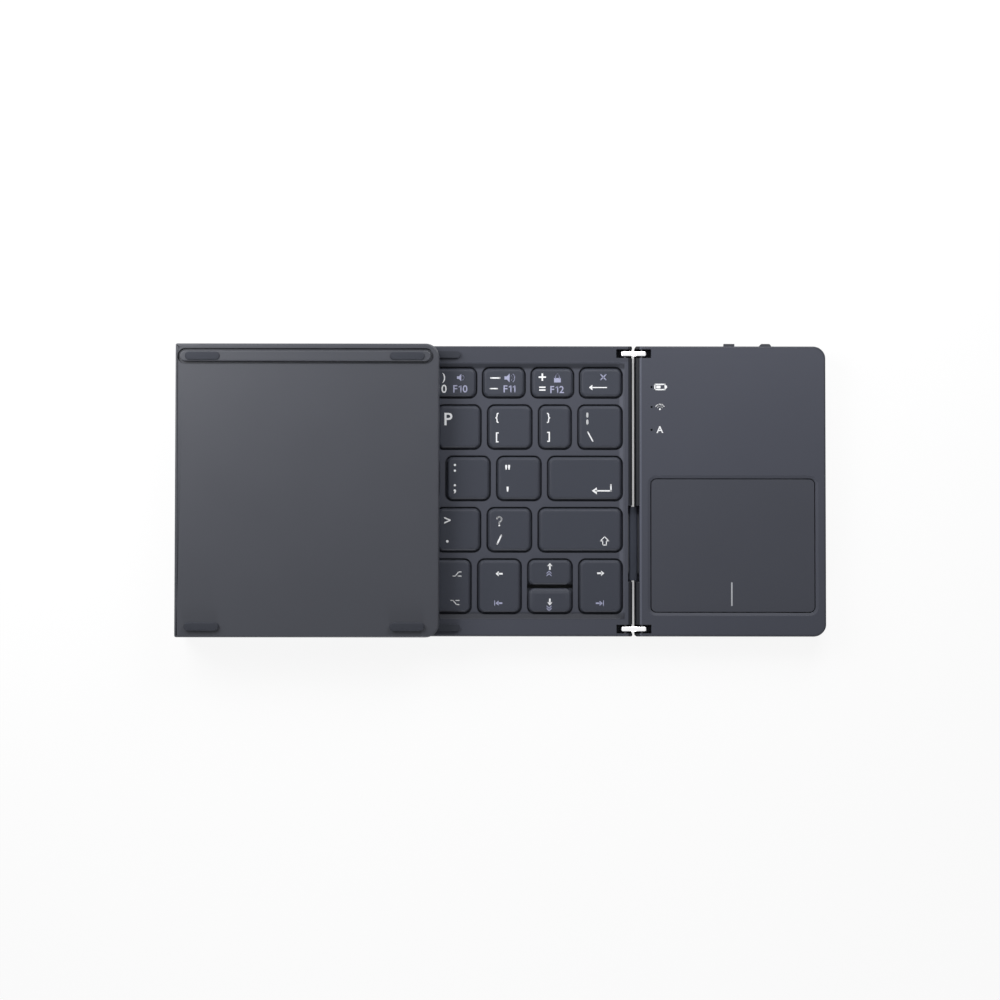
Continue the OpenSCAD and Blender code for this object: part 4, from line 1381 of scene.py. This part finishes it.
@dataclass
class Studio:
    """White floor, three soft lamps at the rear left, rear right and front, and the camera."""

    camera_place: XYZ = (-0.0008, -0.0190, 0.628)
    camera_tilt_deg: float = 1.43
    camera_roll_deg: float = 0.055
    lens: float = 66.2
    sensor: float = 36.0
    floor_size: float = 3.0
    paper: tuple[XYZ, XYZ] = ((0.84, 0.84, 0.85), (0.88, 0.88, 0.89))
    paper_per_mm: float = 0.02
    paper_roughness: float = 0.9
    white_share: float = 0.9
    slit_share: float = 0.4
    slit_mm: tuple[float, float, float, float] = (44.7, 1.4, -0.5, 45.2)
    slit_ease: float = 1.2
    ambient: float = 0.062
    lamps: tuple = (
        ("left_lamp", (-0.198, 0.137, 0.18), 0.2, 0.93),
        ("right_lamp", (0.109, 0.234, 0.18), 0.2, 0.96),
        ("front_lamp", (0.0, -0.7, 0.13), 0.2, 3.0),
    )

    def camera(self) -> None:
        """Places the camera, fitted to the panel edges measured in the photograph."""
        data = bpy.data.cameras.new("camera")
        data.lens = self.lens
        data.sensor_width = self.sensor
        camera = linked("camera", data)
        camera.location = self.camera_place
        camera.rotation_euler = (math.radians(self.camera_tilt_deg), 0,
                                 math.radians(self.camera_roll_deg))
        bpy.context.scene.camera = camera

    def floor(self) -> None:
        """Lays the floor: near white to the camera, in shade under the open hinge's slit."""
        half = self.floor_size / 2
        corners = np.array([[-half, -half, 0], [half, -half, 0], [half, half, 0], [-half, half, 0]])
        floor = make_piece("floor", corners, [(0, 1, 2, 3)], smooth=False)
        shader = Shader("floor_paper")
        shader.coat(Roughness=self.paper_roughness,
                    Base_Color=shader.mix(shader.noise(self.paper_per_mm, 2.0), *self.paper))
        glow = shader.add("ShaderNodeEmission", None, {"Color": (1, 1, 1, 1), "Strength": 1.0})
        rays = shader.add("ShaderNodeLightPath")
        apart = shader.add("ShaderNodeSeparateXYZ", None, {"Vector": shader.place()})
        x, reach, y, half = (value * MM for value in self.slit_mm)
        across = abs(Wire(shader, apart.outputs[0]) - x).ramp(reach, reach * self.slit_ease)
        along = abs(Wire(shader, apart.outputs[1]) - y).ramp(half, half + MM)
        off = 1.0 - (1.0 - across) * (1.0 - along)
        share = off * (self.white_share - self.slit_share) + self.slit_share
        seen = Wire(shader, rays.outputs["Is Camera Ray"]) * share
        blend = shader.add("ShaderNodeMixShader", None, {0: seen})
        shader.tree.links.new(shader.surface.outputs[0], blend.inputs[1])
        shader.tree.links.new(glow.outputs[0], blend.inputs[2])
        shader.tree.links.new(blend.outputs[0], shader.output.inputs["Surface"])
        floor.data.materials.append(shader.material)

    def light(self) -> None:
        """Hangs the lamps, and sets a world that is dim but white to camera and glossy rays."""
        for name, place, size, power in self.lamps:
            data = bpy.data.lights.new(name, "AREA")
            data.size = size
            data.energy = power
            lamp = linked(name, data)
            lamp.location = place
            lamp.rotation_euler = (-Vector(place)).to_track_quat("-Z", "Y").to_euler()
        world = bpy.data.worlds.new("studio_world")
        bpy.context.scene.world = world
        world.use_nodes = True
        tree = world.node_tree
        rays = tree.nodes.new("ShaderNodeLightPath")
        seen = tree.nodes.new("ShaderNodeMath")
        seen.operation = "MAXIMUM"
        level = tree.nodes.new("ShaderNodeMapRange")
        level.inputs["To Min"].default_value = self.ambient
        tree.links.new(rays.outputs["Is Camera Ray"], seen.inputs[0])
        tree.links.new(rays.outputs["Is Glossy Ray"], seen.inputs[1])
        tree.links.new(seen.outputs[0], level.inputs["Value"])
        tree.links.new(level.outputs[0], tree.nodes["Background"].inputs["Strength"])
        tree.nodes["Background"].inputs["Color"].default_value = (1.0, 1.0, 1.0, 1.0)
        bpy.context.scene.view_settings.view_transform = "Standard"


# ---- main

# Keys in view by (row, place from the right); the arrow key is two half keys
ARROW_KEY = (4, 1)
SINGLE_KEYS = {
    (0, 0): "key_delete", (0, 1): "key_equals", (0, 2): "key_minus", (0, 3): "key_zero",
    (1, 0): "key_backslash", (1, 1): "key_bracket_right", (1, 2): "key_bracket_left",
    (1, 3): "key_p", (2, 0): "key_enter", (2, 1): "key_quote", (2, 2): "key_semicolon",
    (3, 0): "key_shift", (3, 1): "key_slash", (3, 2): "key_period",
    (4, 0): "key_end", (4, 2): "key_home", (4, 3): "key_alt",
}


def print_marks(layout: Layout, finishes: Finishes) -> None:
    """Prints the keys' marks and the three beside the indicator holes.

    Args:
        layout: Places of the panels and keys.
        finishes: The inks.
    """
    marks = Marks()
    cap_top = layout.z_top - Keycap(layout).sink_mm
    middle = Printer(layout, finishes, marks, layout.middle(), True, cap_top)
    for key, found in KEY_MARKS.items():
        middle.show(key, [Mark(*fields) for fields in found])
    left = Printer(layout, finishes, marks, layout.left(), True, cap_top)
    rows = RowMarks()
    for r, name in enumerate(ROW_NAMES):
        hidden = layout.middle_rows()[r][sum(row == r for row, _ in (*SINGLE_KEYS, ARROW_KEY)):]
        middle.show(f"middle_keys_{name}_row", rows.marks(MIDDLE_ROW_MARKS[r], hidden))
        left.show(f"left_keys_{name}_row", rows.marks(LEFT_ROW_MARKS[r], layout.left_rows()[r]))
    wing = Printer(layout, finishes, marks, layout.right(), False, layout.z_top)
    pad_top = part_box("touchpad")[1].z / MM
    pad = Printer(layout, finishes, marks, layout.right(), False, pad_top)
    pad.show("touchpad", [Mark("divider", 32.5, 83.7, 7.9, Palette.GREY_INK)])
    wing.show("right_wing", [Mark("battery", 8.5, 13.8, 2.1), Mark("radio", 8.3, 20.6, 2.4),
                             Mark("A", 8.3, 28.2, 2.3)])


def main() -> None:
    """Builds the studio, dresses the solids and makes the modelled pieces."""
    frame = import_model()
    studio = Studio()
    studio.camera()
    studio.floor()
    studio.light()
    finishes = Finishes()
    layout = Layout()
    shown = {node: finish for finish, nodes in SHOWN.items() for node in nodes.split()}
    for node, piece in frame["nodes"].items():
        finishes.dress(piece, shown.get(node, Palette.KEYCAP))
    KeyField(layout, finishes, layout.middle(), layout.middle_rows(), SINGLE_KEYS, "middle",
             arrow_key=ARROW_KEY).build()
    KeyField(layout, finishes, layout.left(), layout.left_rows(), {}, "left").build()
    print_marks(layout, finishes)
    link_x = layout.middle_x + layout.middle_w - layout.pivot_in
    HingeLinks(layout, finishes, "right_link", (link_x, layout.z_pivot), False).build()
    HingeLinks(layout, finishes, "left_link", (layout.middle_x + layout.pivot_in, layout.z_pivot),
               True).build()
    for name, placement, width, free_end in (
            ("middle", layout.middle(), layout.middle_w, False),
            ("left", layout.left(), layout.left_w, True),
            ("right", layout.right(), layout.right_w, True)):
        Underside(layout, finishes, placement, name, width, free_end).build()


if __name__ == "__main__":
    logging.basicConfig(level=logging.INFO, format="%(name)s: %(message)s")
    main()
